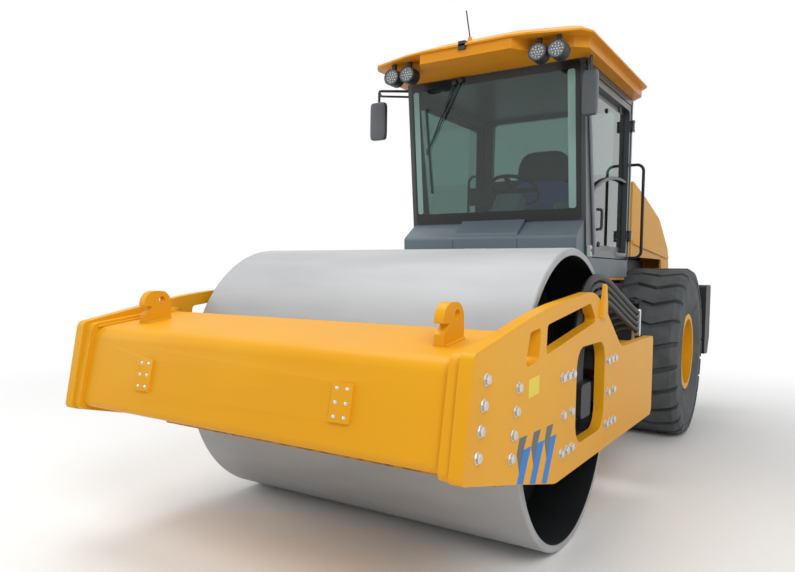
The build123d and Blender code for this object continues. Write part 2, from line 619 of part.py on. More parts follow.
with BuildPart() as cab_base:
    with BuildSketch(level(SILL_Z, (CAB_FOOT + CAB_BACK) / 2)):
        RectangleRounded(2 * CAB_X, CAB_BACK - CAB_FOOT, 30)
    extrude(amount=FLOOR_Z - SILL_Z)
    with BuildSketch(level(SILL_Z, (CAB_FOOT + CAB_BACK) / 2)):
        Rectangle(2 * CAB_X - 500, CAB_BACK - CAB_FOOT - 400)
    extrude(amount=FLOOR_Z - SILL_Z - 40, mode=Mode.SUBTRACT)
save(cab_base.part, "cab_base")

COWL = [(CAB_FOOT - 213, 1600, 30), (CAB_FOOT - 231, 1838, 36), (screen_u(1962), 1962, 0),
        (CAB_FOOT, FLOOR_Z, 0), (CAB_FOOT, 1600, 0)]
BROW = [(CAB_FOOT - 215, 1790, 0), (CAB_FOOT - 212, 1866, 30), (screen_u(1988) - 8, 1988, 6),
        (screen_u(1900) - 8, 1900, 0)]       # raised middle of the cowl, clear of the glass
BROW_HALF = 265.0
with BuildPart() as front_cowl:
    with BuildSketch(SIDE.offset(-721)):
        rounded(*COWL)
    extrude(amount=1442)
    with BuildSketch(SIDE.offset(-BROW_HALF)):
        rounded(*BROW)
    extrude(amount=2 * BROW_HALF)
save(front_cowl.part, "front_cowl")

SHELL = [(CAB_FOOT, FLOOR_Z, 0), (screen_u(HEADER_Z), HEADER_Z, 0), (CAB_BACK + 25, HEADER_Z, 30),
         (CAB_BACK, FLOOR_Z, 0)]
DOORWAY = [(CAB_FOOT + 163, FLOOR_Z, 0), (CAB_FOOT - 129, 3088, 40), (CAB_BACK - 32, 3088, 40),
           (CAB_BACK - 32, FLOOR_Z, 0)]
inner_x = CAB_X - CAB_WALL
SCREEN_OPENING = (660.0, 2036.0, 3080.0)   # half width, v from, v to
REAR_OPENING = (580.0, 2480.0, 3060.0)
SIDE_WINDOW = [(CAB_FOOT + 225, 1760, 40), (CAB_FOOT - 55, 3030, 40), (CAB_BACK - 90, 3030, 40),
               (CAB_BACK - 90, 1760, 40)]
HINGE_X, HINGE_U = CAB_X + 20.0, CAB_BACK - 54   # door hinge axis
HINGE_PIN_R = 8.0
DOOR_HINGE_V = (1900.0, 2900.0)
with BuildPart() as cab_frame:
    with BuildSketch(SIDE.offset(-CAB_X)):
        rounded(*SHELL)
    extrude(amount=2 * CAB_X)
    with BuildSketch(SIDE.offset(-inner_x)):
        rounded((CAB_FOOT + CAB_WALL, FLOOR_Z - 1, 0), (screen_u(3090) + CAB_WALL, 3090, 0),
                (CAB_BACK - 30, 3090, 0), (CAB_BACK - CAB_WALL, FLOOR_Z - 1, 0))
    extrude(amount=2 * inner_x, mode=Mode.SUBTRACT)
    with BuildSketch(SIDE.offset(inner_x - 10)):
        rounded(*[(u, v - 1 if v == FLOOR_Z else v, r) for u, v, r in DOORWAY])
    extrude(amount=CAB_WALL + 20, mode=Mode.SUBTRACT)
    with BuildSketch(SIDE.offset(-CAB_X - 10)):
        rounded(*SIDE_WINDOW)
    extrude(amount=CAB_WALL + 20, mode=Mode.SUBTRACT)
    for (half, low, high), u, depth in ((SCREEN_OPENING, CAB_FOOT - 265, 400),
                                        (REAR_OPENING, CAB_BACK - 160, 300)):
        with BuildSketch(behind(u)):
            with Locations((0, (low + high) / 2)):
                RectangleRounded(2 * half, high - low, 45)
        extrude(amount=depth, mode=Mode.SUBTRACT)
    for v in DOOR_HINGE_V:
        for low in (v - 50, v + 30):
            with BuildSketch(level(low)):
                with Locations((HINGE_X, HINGE_U)):
                    Circle(14)
                with Locations((HINGE_X - 6, HINGE_U + 24)):
                    Rectangle(28, 44)
            extrude(amount=20)
        with BuildSketch(level(v - 50)):
            with Locations((HINGE_X, HINGE_U)):
                Circle(HINGE_PIN_R)
        extrude(amount=100)
save(cab_frame.part, "cab_frame")

screen_plane = Plane(origin=(0, DRUM_Y + screen_u(1970), 1970), x_dir=(1, 0, 0),
                     z_dir=(0, -cos(atan2(SCREEN_LEAN, 1)), -sin(atan2(SCREEN_LEAN, 1))))
screen_length = (3140 - 1970) / cos(atan2(SCREEN_LEAN, 1))
with BuildPart() as windscreen:
    with BuildSketch(screen_plane):
        with Locations((0, screen_length / 2)):
            RectangleRounded(1394, screen_length, 30)
    extrude(amount=GLASS)
save(windscreen.part, "windscreen")

with BuildPart() as side_glass:
    with BuildSketch(SIDE.offset(-CAB_X + 20)):
        rounded(*SIDE_WINDOW)
    extrude(amount=GLASS)
save(side_glass.part, "side_glass")

with BuildPart() as rear_glass:
    with BuildSketch(behind(CAB_BACK - 26)):
        with Locations((0, (REAR_OPENING[1] + REAR_OPENING[2]) / 2)):
            RectangleRounded(2 * REAR_OPENING[0] - 2 * SEAT_GAP,
                             REAR_OPENING[2] - REAR_OPENING[1] - 2 * SEAT_GAP, 45)
    extrude(amount=GLASS)
save(rear_glass.part, "rear_glass")

# Door: a tube frame with a full pane and a swept grab rail across it.
DOOR = [(CAB_FOOT + 170, FLOOR_Z + 8, 20), (CAB_FOOT - 121, 3080, 34), (CAB_BACK - 40, 3080, 34),
        (CAB_BACK - 40, FLOOR_Z + 8, 20)]
PANE = [(CAB_FOOT + 235, FLOOR_Z + 62, 40), (CAB_FOOT - 49, 3026, 40), (CAB_BACK - 94, 3026, 40),
        (CAB_BACK - 94, FLOOR_Z + 62, 40)]
with BuildPart() as door_left:
    with BuildSketch(SIDE.offset(inner_x)):
        rounded(*DOOR)
    extrude(amount=CAB_WALL - 2)
    with BuildSketch(SIDE.offset(inner_x - 1)):
        rounded(*PANE)
    extrude(amount=CAB_WALL + 2, mode=Mode.SUBTRACT)
    for v in DOOR_HINGE_V:
        with BuildSketch(level(v - 25)):
            with Locations((HINGE_X, HINGE_U)):
                Circle(14)
            with Locations(((HINGE_X + CAB_X - 3) / 2, HINGE_U)):
                Rectangle(HINGE_X - CAB_X + 3, 22)
            with Locations((HINGE_X, HINGE_U)):
                Circle(HINGE_PIN_R + PIN_FIT, mode=Mode.SUBTRACT)
        extrude(amount=50)
    with BuildLine(SIDE.offset(CAB_X - 24)) as rail_path:
        ThreePointArc((CAB_FOOT + 130, 2170), (CAB_FOOT + 685, 2352), (CAB_BACK - 80, 2385))
    with BuildSketch(Plane(origin=rail_path.line @ 0, z_dir=rail_path.line % 0)):
        Circle(14)
    sweep(path=rail_path.line)
save(door_left.part, "door_left")
with BuildPart() as door_glass:
    with BuildSketch(SIDE.offset(inner_x + 6)):
        rounded(*PANE)
    extrude(amount=GLASS)
save(door_glass.part, "door_glass_left")

# Roof: a band round the header with a deep fascia in the middle and a pocket for
# the lamps at each front corner, under a crowned lid that runs out over them.
# A boss on its front slope carries the aerial.
BAND_TOP, LID_LIP = HEADER_Z + 76, 14.0
AERIAL_FOOT, AERIAL_TIP = (-20.0, CAB_FOOT - 535, 3334.0), (-60.0, CAB_FOOT - 520, 3545.0)
# x, u, corner radius, from the side to the middle of the front
BAND = [(820, CAB_FOOT - 390, 0), (735, CAB_FOOT - 470, 10), (470, CAB_FOOT - 478, 60),
        (360, CAB_FOOT - 690, 30)]
LID = [(866, CAB_FOOT - 470, 10), (806, CAB_FOOT - 575, 10), (482, CAB_FOOT - 690, 60),
       (343, CAB_FOOT - 712, 30)]
CROWN = [(714, CAB_FOOT - 220, 0), (660, CAB_FOOT - 265, 0), (400, CAB_FOOT - 350, 0),
         (300, CAB_FOOT - 385, 0)]
TAILS = {"band": [(820, CAB_BACK - 60, 0), (720, CAB_BACK + 80, 30)],
         "lid": [(866, CAB_BACK - 70, 20), (760, CAB_BACK + 104, 30)],
         "crown": [(714, CAB_BACK - 140, 0), (620, CAB_BACK - 20, 0)]}


def roof_outline(front, tail):
    """Closed plan outline from a right half given from the side to the middle."""
    half = list(reversed(tail)) + front
    return mirror_points(half)


with BuildPart() as cab_roof:
    with BuildSketch(level(HEADER_Z)):
        rounded(*roof_outline(BAND, TAILS["band"]))
    extrude(amount=BAND_TOP - HEADER_Z)
    with BuildSketch(level(BAND_TOP)):
        rounded(*roof_outline(LID, TAILS["lid"]))
    extrude(amount=LID_LIP)
    with BuildSketch(level(BAND_TOP + LID_LIP)):
        rounded(*[(x, u, 0) for x, u, r in roof_outline(LID, TAILS["lid"])])
    with BuildSketch(level(ROOF_Z)):
        rounded(*roof_outline(CROWN, TAILS["crown"]))
    loft()
    with BuildSketch(level(BAND_TOP, *AERIAL_FOOT[1::-1])):
        Circle(22)
    extrude(amount=AERIAL_FOOT[2] - BAND_TOP, taper=4)
save(cab_roof.part, "cab_roof")

# Short whip aerial on the boss.
with BuildPart() as aerial:
    with BuildLine() as whip:
        Line((AERIAL_FOOT[0], DRUM_Y + AERIAL_FOOT[1], AERIAL_FOOT[2] + 2 * SEAT_GAP),
             (AERIAL_TIP[0], DRUM_Y + AERIAL_TIP[1], AERIAL_TIP[2]))
    with BuildSketch(Plane(origin=whip.line @ 0, z_dir=whip.line % 0)):
        Circle(5)
    sweep(path=whip.line)
save(aerial.part, "aerial")

LAMP_R, LAMP_DEPTH = 64.0, 100.0
LAMP_U, LAMP_V = CAB_FOOT - 600, 3118.0
with BuildPart() as work_lamps:
    for x in (658, 520, -520, -658):
        with BuildSketch(behind(LAMP_U, LAMP_V)):
            with Locations((-x, 0)):
                Circle(LAMP_R)
        extrude(amount=LAMP_DEPTH)
        with BuildSketch(level(LAMP_V, LAMP_U + 45, x)):
            Rectangle(30, 30)
        extrude(amount=BAND_TOP - SEAT_GAP - LAMP_V)
save(work_lamps.part, "work_lamps")

# Mirrors: the right one out on its arm, the left one folded against the pillar.
MIRRORS = ((-965, CAB_FOOT - 275, 190), (812, CAB_FOOT - 303, 130))   # x, u, width of a head
MIRROR_FOOT = (752, CAB_FOOT - 105, 3118)
with BuildPart() as mirrors:
    for x, u, width in MIRRORS:
        with BuildSketch(behind(u - 30)):
            with Locations((-x, 2855)):
                RectangleRounded(width, 330, 40)
        extrude(amount=55)
        side = 1 if x > 0 else -1
        with BuildSketch(facing(CAB_X if x > 0 else -CAB_X - 24, *MIRROR_FOOT[1:])):
            RectangleRounded(60, 50, 8)
        extrude(amount=24)
        with BuildLine() as arm:
            Line((side * MIRROR_FOOT[0], DRUM_Y + MIRROR_FOOT[1], MIRROR_FOOT[2]),
                 (x, DRUM_Y + u, MIRROR_FOOT[2]))
        with BuildSketch(Plane(origin=arm.line @ 0, z_dir=arm.line % 0)):
            Circle(14)
        sweep(path=arm.line)
        with BuildSketch(level(3005, u, x)):
            Circle(14)
        extrude(amount=127)
save(mirrors.part, "mirrors")

with BuildPart() as handrails:
    for side in (1, -1):
        with BuildLine(behind(CAB_BACK - 14)) as loop:
            FilletPolyline((-side * CAB_X, 2552), (-side * 848, 2552),
                           (-side * 848, 1702), (-side * CAB_X, 1702), radius=60)
        with BuildSketch(Plane(origin=loop.line @ 0, z_dir=loop.line % 0)):
            Circle(13)
        sweep(path=loop.line)
save(handrails.part, "handrails")

# Inside the cab: seat, instrument pod with its column, and the wheel.
with BuildPart() as seat:
    with BuildSketch(level(FLOOR_Z, CAB_BACK - 480)):
        RectangleRounded(420, 420, 40)
    extrude(amount=330)
    with BuildSketch(level(FLOOR_Z + 330, CAB_BACK - 500)):
        RectangleRounded(540, 560, 70)
    extrude(amount=130)
    with BuildSketch(SIDE.offset(-250)):
        rounded((CAB_BACK - 310, 2060, 30), (CAB_BACK - 230, 2720, 50), (CAB_BACK - 130, 2720, 40),
                (CAB_BACK - 190, 2060, 30))
    extrude(amount=500)
save(seat.part, "seat")

with BuildPart() as steering_console:
    with BuildSketch(SIDE.offset(-110)):
        rounded((CAB_FOOT + 215, FLOOR_Z, 0), (CAB_FOOT + 195, 2100, 60), (CAB_FOOT + 308, 2234, 0),
                (CAB_FOOT + 412, 2174, 0), (CAB_FOOT + 335, 2050, 40), (CAB_FOOT + 325, FLOOR_Z, 0))
    extrude(amount=220)
    with BuildSketch(level(FLOOR_Z, CAB_FOOT + 735, 430)):
        RectangleRounded(190, 640, 40)
    extrude(amount=470)
save(steering_console.part, "steering_console")

WHEEL_R = 215.0
wheel_centre = Vector(0, DRUM_Y + CAB_FOOT + 395, 2265)
wheel_axis = Vector(0, 0.5, 0.866)
with BuildPart() as steering_wheel:
    with BuildSketch(Plane(origin=wheel_centre, x_dir=(1, 0, 0), z_dir=(0, 0.866, -0.5))) as ring:
        with Locations((WHEEL_R, 0)):
            Circle(15)
    revolve(axis=Axis(wheel_centre, wheel_axis))
    with BuildSketch(Plane(origin=wheel_centre - wheel_axis * 70, x_dir=(1, 0, 0), z_dir=wheel_axis)):
        Circle(45)
    extrude(amount=80)
    with BuildSketch(Plane(origin=wheel_centre - wheel_axis * 12, x_dir=(1, 0, 0), z_dir=wheel_axis)):
        Rectangle(2 * WHEEL_R, 40)
        Rectangle(40, 2 * WHEEL_R)
    extrude(amount=20)
save(steering_wheel.part, "steering_wheel")

# ======================================================================= hood
KNEE, TAIL_KNEE = (REAR + 714, 2149), (TAIL - 93, 1832)   # u, v at the ends of the rear slope
SKIN_V = 26.0                         # the skin's height where it slopes
slope = (TAIL_KNEE[1] - KNEE[1]) / (TAIL_KNEE[0] - KNEE[0])


def hood_slope(u, below=0.0):
    """Height of the hood's rear slope, or of a line below it."""
    return KNEE[1] + slope * (u - KNEE[0]) - below


HOOD = [(HOOD_FRONT, HOOD_SKIRT, 0), (HOOD_FRONT, 2420, 30), (REAR - 53, 2318, 2500), (*KNEE, 400),
        (*TAIL_KNEE, 160), (TAIL - 5, 1560, 60), (TAIL - 5, TAIL_TOP + 22, 10),
        (TAIL_FRONT, TAIL_TOP + 22, 30), (TAIL_FRONT - 60, HOOD_SKIRT, 60)]
LINING = [(HOOD_FRONT - 1, HOOD_SKIRT - 300, 0), (HOOD_FRONT - 1, 2420 - HOOD_T, 0),
          (REAR - 57, 2318 - HOOD_T, 2500), (KNEE[0] - 9, hood_slope(KNEE[0] - 9, SKIN_V), 400),
          (TAIL_KNEE[0] - 14, hood_slope(TAIL_KNEE[0] - 14, SKIN_V), 140),
          (TAIL - 5 - HOOD_T, 1560, 40), (TAIL - 5 - HOOD_T, TAIL_TOP - 24, 0)]
LEDGE = [(HOOD_FRONT + 30, 1836, 0), (HOOD_FRONT + 30, 1868, 12), (TAIL - 130, 1760, 12),
         (TAIL - 130, 1728, 0)]
LEDGE_T = 16.0                        # swage along the hood's sides
GRILLE_HALF, GRILLE_FROM, GRILLE_TO = 440.0, REAR + 790, REAR + 1190
SLATS = 11
BAR = 45.0                            # width of the grille's side bars
BAR_LAP = 20.0                        # how far they run past the opening

with BuildPart() as hood:
    with BuildSketch(SIDE.offset(-HOOD_X)):
        rounded(*HOOD)
    extrude(amount=2 * HOOD_X)
    with BuildSketch(SIDE.offset(HOOD_T - HOOD_X)):
        rounded(*LINING)
    extrude(amount=2 * (HOOD_X - HOOD_T), mode=Mode.SUBTRACT)
    with BuildSketch(level(1780, (GRILLE_FROM + GRILLE_TO) / 2)):
        RectangleRounded(2 * GRILLE_HALF, GRILLE_TO - GRILLE_FROM, 5)
    extrude(amount=500, mode=Mode.SUBTRACT)
    for start in (HOOD_X - 1, -HOOD_X - LEDGE_T + 1):
        with BuildSketch(SIDE.offset(start)):
            rounded(*LEDGE)
        extrude(amount=LEDGE_T)
    for side in (1, -1):
        with BuildSketch(SIDE.offset(side * (RAIL_X + RAIL_T + 14) - 7)):
            with Locations((HOOD_PIVOT[0], HOOD_PIVOT[1] + 22)):
                Rectangle(56, 44)
            with Locations(HOOD_PIVOT):
                Circle(28)
            with Locations(HOOD_PIVOT):
                Circle(HOOD_PIN_R + PIN_FIT, mode=Mode.SUBTRACT)
        extrude(amount=14)
save(hood.part, "hood")

# Louvred grille in the hood's rear slope, for the cooler's air.
bar_top, bar_foot = SKIN_V + SEAT_GAP, SKIN_V + BAR
bar_from, bar_to = GRILLE_FROM - BAR_LAP, GRILLE_TO + BAR_LAP
with BuildPart() as hood_grille:
    for start in (GRILLE_HALF - BAR / 2, -GRILLE_HALF - BAR / 2):
        with BuildSketch(SIDE.offset(start)):
            rounded((bar_from, hood_slope(bar_from, bar_top), 0), (bar_to, hood_slope(bar_to, bar_top), 0),
                    (bar_to, hood_slope(bar_to, bar_foot), 0), (bar_from, hood_slope(bar_from, bar_foot), 0))
        extrude(amount=BAR)
    with BuildSketch(SIDE.offset(1 - GRILLE_HALF)):
        for index in range(SLATS):
            u = GRILLE_FROM + 20 + (GRILLE_TO - GRILLE_FROM - 50) * index / (SLATS - 1)
            rounded((u - 12, hood_slope(u, 6), 0), (u - 2, hood_slope(u, 6), 0),
                    (u + 16, hood_slope(u, BAR), 0), (u + 6, hood_slope(u, BAR), 0))
    extrude(amount=2 * GRILLE_HALF - 2)
save(hood_grille.part, "hood_grille")
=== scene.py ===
# %% [markdown]
# # A single-drum road roller
# The machine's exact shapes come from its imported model. This lesson dresses them: it gives
# every part the finish of the real one and adds the bolts, seams, glass borders and lamps
# that are too small for the exact model.

import bmesh
import bpy
import numpy as np
from mathutils import Matrix, Vector


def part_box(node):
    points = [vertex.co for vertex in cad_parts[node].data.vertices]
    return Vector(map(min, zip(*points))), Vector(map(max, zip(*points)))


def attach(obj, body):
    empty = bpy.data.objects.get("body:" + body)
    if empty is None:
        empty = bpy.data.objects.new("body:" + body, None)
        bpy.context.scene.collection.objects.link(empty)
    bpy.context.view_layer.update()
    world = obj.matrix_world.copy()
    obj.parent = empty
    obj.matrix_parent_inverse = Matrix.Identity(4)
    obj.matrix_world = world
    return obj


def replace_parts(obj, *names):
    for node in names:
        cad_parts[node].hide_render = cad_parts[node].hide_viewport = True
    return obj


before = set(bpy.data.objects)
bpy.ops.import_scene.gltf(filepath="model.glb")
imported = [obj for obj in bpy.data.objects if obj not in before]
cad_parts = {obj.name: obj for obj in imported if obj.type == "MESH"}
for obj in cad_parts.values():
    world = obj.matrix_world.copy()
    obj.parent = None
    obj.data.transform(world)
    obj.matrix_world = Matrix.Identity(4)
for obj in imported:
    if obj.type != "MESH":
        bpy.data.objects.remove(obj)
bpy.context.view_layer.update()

# %% [markdown]
# Every place is told as on the drawing: x across the machine, u behind the drum's axle and
# z above the ground, in millimetres. The drum, a tyre and rim, the cross beam and the cab's
# base give the datums, so most pieces follow when the machine is made longer or wider.

# %% Datums from the frame
MM = 0.001
drum_low, drum_high = (np.array(v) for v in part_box("drum"))
AXLE_Y = (drum_low[1] + drum_high[1]) / 2
DRUM_R = (drum_high[2] - drum_low[2]) / 2
PLATE_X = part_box("cross_beam")[1][0] / MM + 58.0
CAB_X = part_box("cab_base")[1][0] / MM
tyre_low, tyre_high = (np.array(v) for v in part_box("tyre_left"))
REAR_U = ((tyre_low[1] + tyre_high[1]) / 2 - AXLE_Y) / MM
AXLE_Z = (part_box("rim_left")[0][2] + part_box("rim_left")[1][2]) / 2 / MM


def at(x, u, z):
    """Point in metres from millimetres across, behind the drum's axle, and up."""
    x, u, z = np.broadcast_arrays(x, u, z)
    return np.stack([x * MM, AXLE_Y + u * MM, z * MM], -1).astype(float)


print("drum axle y", round(AXLE_Y, 4), "plate x", PLATE_X, "rear axle u", round(REAR_U, 1))

# %% [markdown]
# A shape is a pair: an array of corners and a list of faces. Most shapes here are grids,
# where one parameter runs along a profile and the other round or along a path, so a single
# rule numbers the faces of all of them.

# %% Grids, prisms, lathes and tubes
def grid(points, wrap_rows=False, wrap_cols=False):
    """Shape over rows x columns of points; each cell is one four-sided face."""
    rows, cols = points.shape[:2]
    index = np.arange(rows * cols).reshape(rows, cols)
    if wrap_rows:
        index = np.vstack([index, index[:1]])
    if wrap_cols:
        index = np.hstack([index, index[:, :1]])
    faces = np.stack([index[:-1, :-1], index[:-1, 1:], index[1:, 1:], index[1:, :-1]], -1)
    return points.reshape(-1, 3), faces.reshape(-1, 4).tolist()


def join(shapes):
    """One shape out of several: the corners in one array, the faces renumbered."""
    starts = np.cumsum([0] + [len(points) for points, _ in shapes[:-1]])
    faces = [[corner + int(start) for corner in face]
             for start, (_, part) in zip(starts, shapes) for face in part]
    return np.vstack([points for points, _ in shapes]), faces


def turned(profile, centre, axis, sides=32):
    """Lathe: each (along, radius) of the profile goes round the axis in a circle."""
    axis = np.array(axis, float) / np.linalg.norm(axis)
    first = np.cross(axis, (0.3, 0.2, 1.0) if abs(axis[2]) < 0.9 else (1.0, 0.0, 0.0))
    first /= np.linalg.norm(first)
    second = np.cross(axis, first)
    angle = np.linspace(0, 2 * np.pi, sides, endpoint=False)[None, :, None]
    along, radius = (np.array(profile, float) * MM).T[:, :, None, None]
    ring = np.cos(angle) * first + np.sin(angle) * second
    return grid(np.array(centre) + along * axis + radius * ring, wrap_cols=True)


def prism(outline, depth):
    """Flat plate: a closed outline of points and its copy moved by the depth vector."""
    outline = np.array(outline, float)
    count = len(outline)
    index = np.arange(count)
    walls = np.stack([index, np.roll(index, -1), np.roll(index, -1) + count, index + count], -1)
    faces = walls.tolist() + [index[::-1].tolist(), (index + count).tolist()]
    return np.vstack([outline, outline + np.array(depth)]), faces


def block(low, high):
    """Box between two corners."""
    (x0, y0, z0), (x1, y1, z1) = low, high
    return prism([(x0, y0, z0), (x1, y0, z0), (x1, y1, z0), (x0, y1, z0)], (0, 0, z1 - z0))


def tube(path, radius, sides=16):
    """Round bar along a path: a circle in the plane square to each step, closed at both ends."""
    path = np.array(path, float)
    step = np.gradient(path, axis=0)
    step /= np.linalg.norm(step, axis=1)[:, None]
    aside = np.cross(step, (0.13, 0.31, 0.94))
    aside /= np.linalg.norm(aside, axis=1)[:, None]
    up = np.cross(aside, step)
    angle = np.linspace(0, 2 * np.pi, sides, endpoint=False)[None, :, None]
    ring = np.cos(angle) * aside[:, None] + np.sin(angle) * up[:, None]
    size = np.full(len(path) + 2, radius)
    size[[0, -1]] = 0
    rows = np.concatenate([[0], np.arange(len(path)), [len(path) - 1]])
    return grid(path[rows][:, None] + ring[rows] * size[:, None, None], wrap_cols=True)


def smooth_path(corners, count=48, bend=0.5):
    """Path through corners, each one rounded: points move part of the way to their neighbours' mean."""
    corners = np.array(corners, float)
    t = np.linspace(0, len(corners) - 1, count)
    base = np.stack([np.interp(t, np.arange(len(corners)), corners[:, k]) for k in range(3)], -1)
    padded = np.pad(base, ((3, 3), (0, 0)), mode="edge")
    kernel = np.array([1, 3, 5, 6, 5, 3, 1]) / 24
    soft = np.stack([np.convolve(padded[:, k], kernel, "valid") for k in range(3)], -1)
    soft[[0, -1]] = base[[0, -1]]
    return base * (1 - bend) + soft * bend


# %% [markdown]
# Colours are written as a designer would read them off a colour card, in sRGB hex. The
# renderer works in linear light, so one function turns them.

# %% Colour and node helpers
def linear(code, alpha=1.0):
    """Linear colour from an sRGB hex code, by the sRGB transfer curve."""
    value = np.array([int(code[i:i + 2], 16) for i in (1, 3, 5)]) / 255
    value = np.where(value <= 0.04045, value / 12.92, ((value + 0.055) / 1.055) ** 2.4)
    return (*value.tolist(), alpha)


def add(tree, kind, inputs=None, **settings):
    """Add a shader node with its settings, set its sockets' values, and link what is a socket."""
    node = tree.nodes.new(kind)
    for key, value in settings.items():
        setattr(node, key, value)
    for key, value in (inputs or {}).items():
        if isinstance(value, bpy.types.NodeSocket):
            tree.links.new(value, node.inputs[key])
        else:
            node.inputs[key].default_value = value
    return node


def seen_rays(tree):
    """One for rays from the camera, off glossy and through clear surfaces, and nought for all others."""
    path = add(tree, "ShaderNodeLightPath").outputs
    direct = add(tree, "ShaderNodeMath", {0: path["Is Camera Ray"], 1: path["Is Glossy Ray"]},
                 operation="MAXIMUM")
    return add(tree, "ShaderNodeMath", {0: direct.outputs[0], 1: path["Is Transmission Ray"]},
               operation="MAXIMUM").outputs[0]


def finish(name, colour, second=None, patch=400.0, share=0.5, grain=0.0, depth=0.0, stretch=(1, 1, 1),
           **surface):
    """Surface of one real finish. Two colours are mixed by noise with patches of a real size,
    and a grain of a real size and depth, both in millimetres, is pressed into it."""
    material = bpy.data.materials.new(name)
    material.use_nodes = True
    tree = material.node_tree
    shader = tree.nodes["Principled BSDF"]
    shader.inputs["Base Color"].default_value = linear(colour)
    for key, value in surface.items():
        shader.inputs[key.replace("_", " ")].default_value = value
    spot = add(tree, "ShaderNodeTexCoord").outputs["Object"]
    spot = add(tree, "ShaderNodeMapping", {"Vector": spot, "Scale": stretch}).outputs["Vector"]
    if second:
        noise = add(tree, "ShaderNodeTexNoise", {"Vector": spot, "Scale": 1000 / patch, "Detail": 5.0})
        ramp = add(tree, "ShaderNodeMapRange",
                   {"Value": noise.outputs["Fac"], "From Min": share - 0.12, "From Max": share + 0.12})
        mix = add(tree, "ShaderNodeMix", {0: ramp.outputs["Result"], 6: linear(colour), 7: linear(second)},
                  data_type="RGBA")
        tree.links.new(mix.outputs[2], shader.inputs["Base Color"])
    if grain:
        fine = add(tree, "ShaderNodeTexNoise", {"Vector": spot, "Scale": 1000 / grain, "Detail": 3.0})
        bump = add(tree, "ShaderNodeBump",
                   {"Height": fine.outputs["Fac"], "Distance": depth * MM, "Strength": 1.0})
        tree.links.new(bump.outputs["Normal"], shader.inputs["Normal"])
    return material


# %% [markdown]
# ## Paints
# The frame and hood are steel plate under a two-pack yellow enamel, sprayed to a half gloss
# that shows the lamps as a soft sheen. The roof is the same paint on moulded plastic and
# looks a little more orange. Black parts have a satin chassis paint.

# %% Paint finishes
YELLOW = finish("yellow_enamel", "#E2A21A", "#DE9C16", patch=900, grain=60, depth=0.12, Roughness=0.45,
                Specular_IOR_Level=0.16, Coat_Weight=0.05, Coat_Roughness=0.15)
ORANGE = finish("orange_roof_enamel", "#DD9420", "#D88D1B", patch=700, grain=40, depth=0.1, Roughness=0.45,
                Specular_IOR_Level=0.2, Coat_Weight=0.08, Coat_Roughness=0.15)
BLACK = finish("satin_chassis_black", "#1A1C1E", "#202325", patch=300, grain=3, depth=0.05, Roughness=0.5,
               Specular_IOR_Level=0.3)
PILLAR = finish("graphite_cab_paint", "#33393D", "#2E3438", patch=500, Roughness=0.38, Coat_Weight=0.2)
SILVER_PAINT = finish("silver_grey_tube_paint", "#7C868C", "#747E84", patch=300, Roughness=0.35)
WORN = finish("worn_paint_over_rust", "#C58A22", "#7A4A1D", patch=55, share=0.55, grain=6, depth=0.4,
              Roughness=0.62)
print("paints", 6)

# %% [markdown]
# ## Bare and plated metals
# The drum is rolled steel plate, scoured by the soil it rolls, with faint streaks from end to
# end. Bolts are zinc plated and the cylinder rods are hard chrome, polished.

# %% Metal finishes
DRUM_STEEL = finish("soil_polished_steel", "#ADAFB1", "#A2A4A6", patch=300, grain=26, depth=0.22,
                    stretch=(0.25, 1, 1), Metallic=0.25, Roughness=0.6)
ZINC = finish("zinc_plating", "#D3D6D8", "#C4C8CB", patch=8, Metallic=0.9, Roughness=0.32)
CHROME = finish("hard_chrome", "#D9DBDD", Metallic=1.0, Roughness=0.08)
MIRROR = finish("mirror_silver", "#E6E9EB", Metallic=1.0, Roughness=0.03)
DISH = finish("satin_aluminium_dish", "#6F767A", Metallic=0.5, Roughness=0.45)
IRON = finish("painted_cast_iron", "#3A3B3C", "#2F3031", patch=60, grain=8, depth=0.5, Roughness=0.6)
print("metals", 6)

# %% [markdown]
# ## Rubber, plastics, cloth and glass
# Tyre rubber is dull and dusty. The cowl is a thermoformed sheet with a fine grain. Cab
# glass is tinted green-blue, and its border is a fired black ceramic print.

# %% Soft and moulded finishes
TYRE = finish("dusty_tyre_rubber", "#55595B", "#484C4E", patch=120, grain=9, depth=0.5, Roughness=0.85)
RUBBER = finish("moulded_black_rubber", "#1B1C1D", "#212223", patch=80, grain=4, depth=0.1, Roughness=0.55)
COWL = finish("blue_grey_thermoformed_sheet", "#5F6C75", "#596670", patch=400, grain=2.5, depth=0.06,
              Roughness=0.5)
TRIM = finish("black_moulded_plastic", "#222426", "#272A2C", patch=200, grain=2, depth=0.06, Roughness=0.5)
PANEL = finish("teal_grey_console_plastic", "#B9C9CA", "#AEBFC1", patch=300, grain=2, depth=0.05,
               Roughness=0.5)
CLOTH = finish("dark_woven_seat_cloth", "#2E3336", "#3A4044", patch=6, grain=3, depth=0.5, Roughness=0.9,
               Sheen_Weight=0.25)
GLASS = finish("tinted_cab_glass", "#8FA7A2", Roughness=0.0, IOR=1.5, Transmission_Weight=1.0)
BLUE_CLOTH = finish("blue_seat_cover_cloth", "#4A86E2", "#447FDA", patch=6, grain=3, depth=0.5,
                    Roughness=0.85, Sheen_Weight=0.2)
PALE_PRINT = finish("pale_green_pillar_trim", "#7C9C95", Roughness=0.35)
MIRROR_SHELL = finish("grey_moulded_mirror_shell", "#4B5257", "#454C51", patch=120, grain=2, depth=0.05,
                      Roughness=0.4)
FRIT = finish("fired_black_ceramic", "#101213", Roughness=0.25)
LENS = finish("clear_lamp_lens", "#F1F4F6", Roughness=0.06, IOR=1.49, Transmission_Weight=1.0)
EMITTER = finish("cream_led_dome", "#F6F3E6", Roughness=0.3)
BLUE_FILM = finish("blue_vinyl_film", "#2A7AC6", Roughness=0.45, Specular_IOR_Level=0.15)
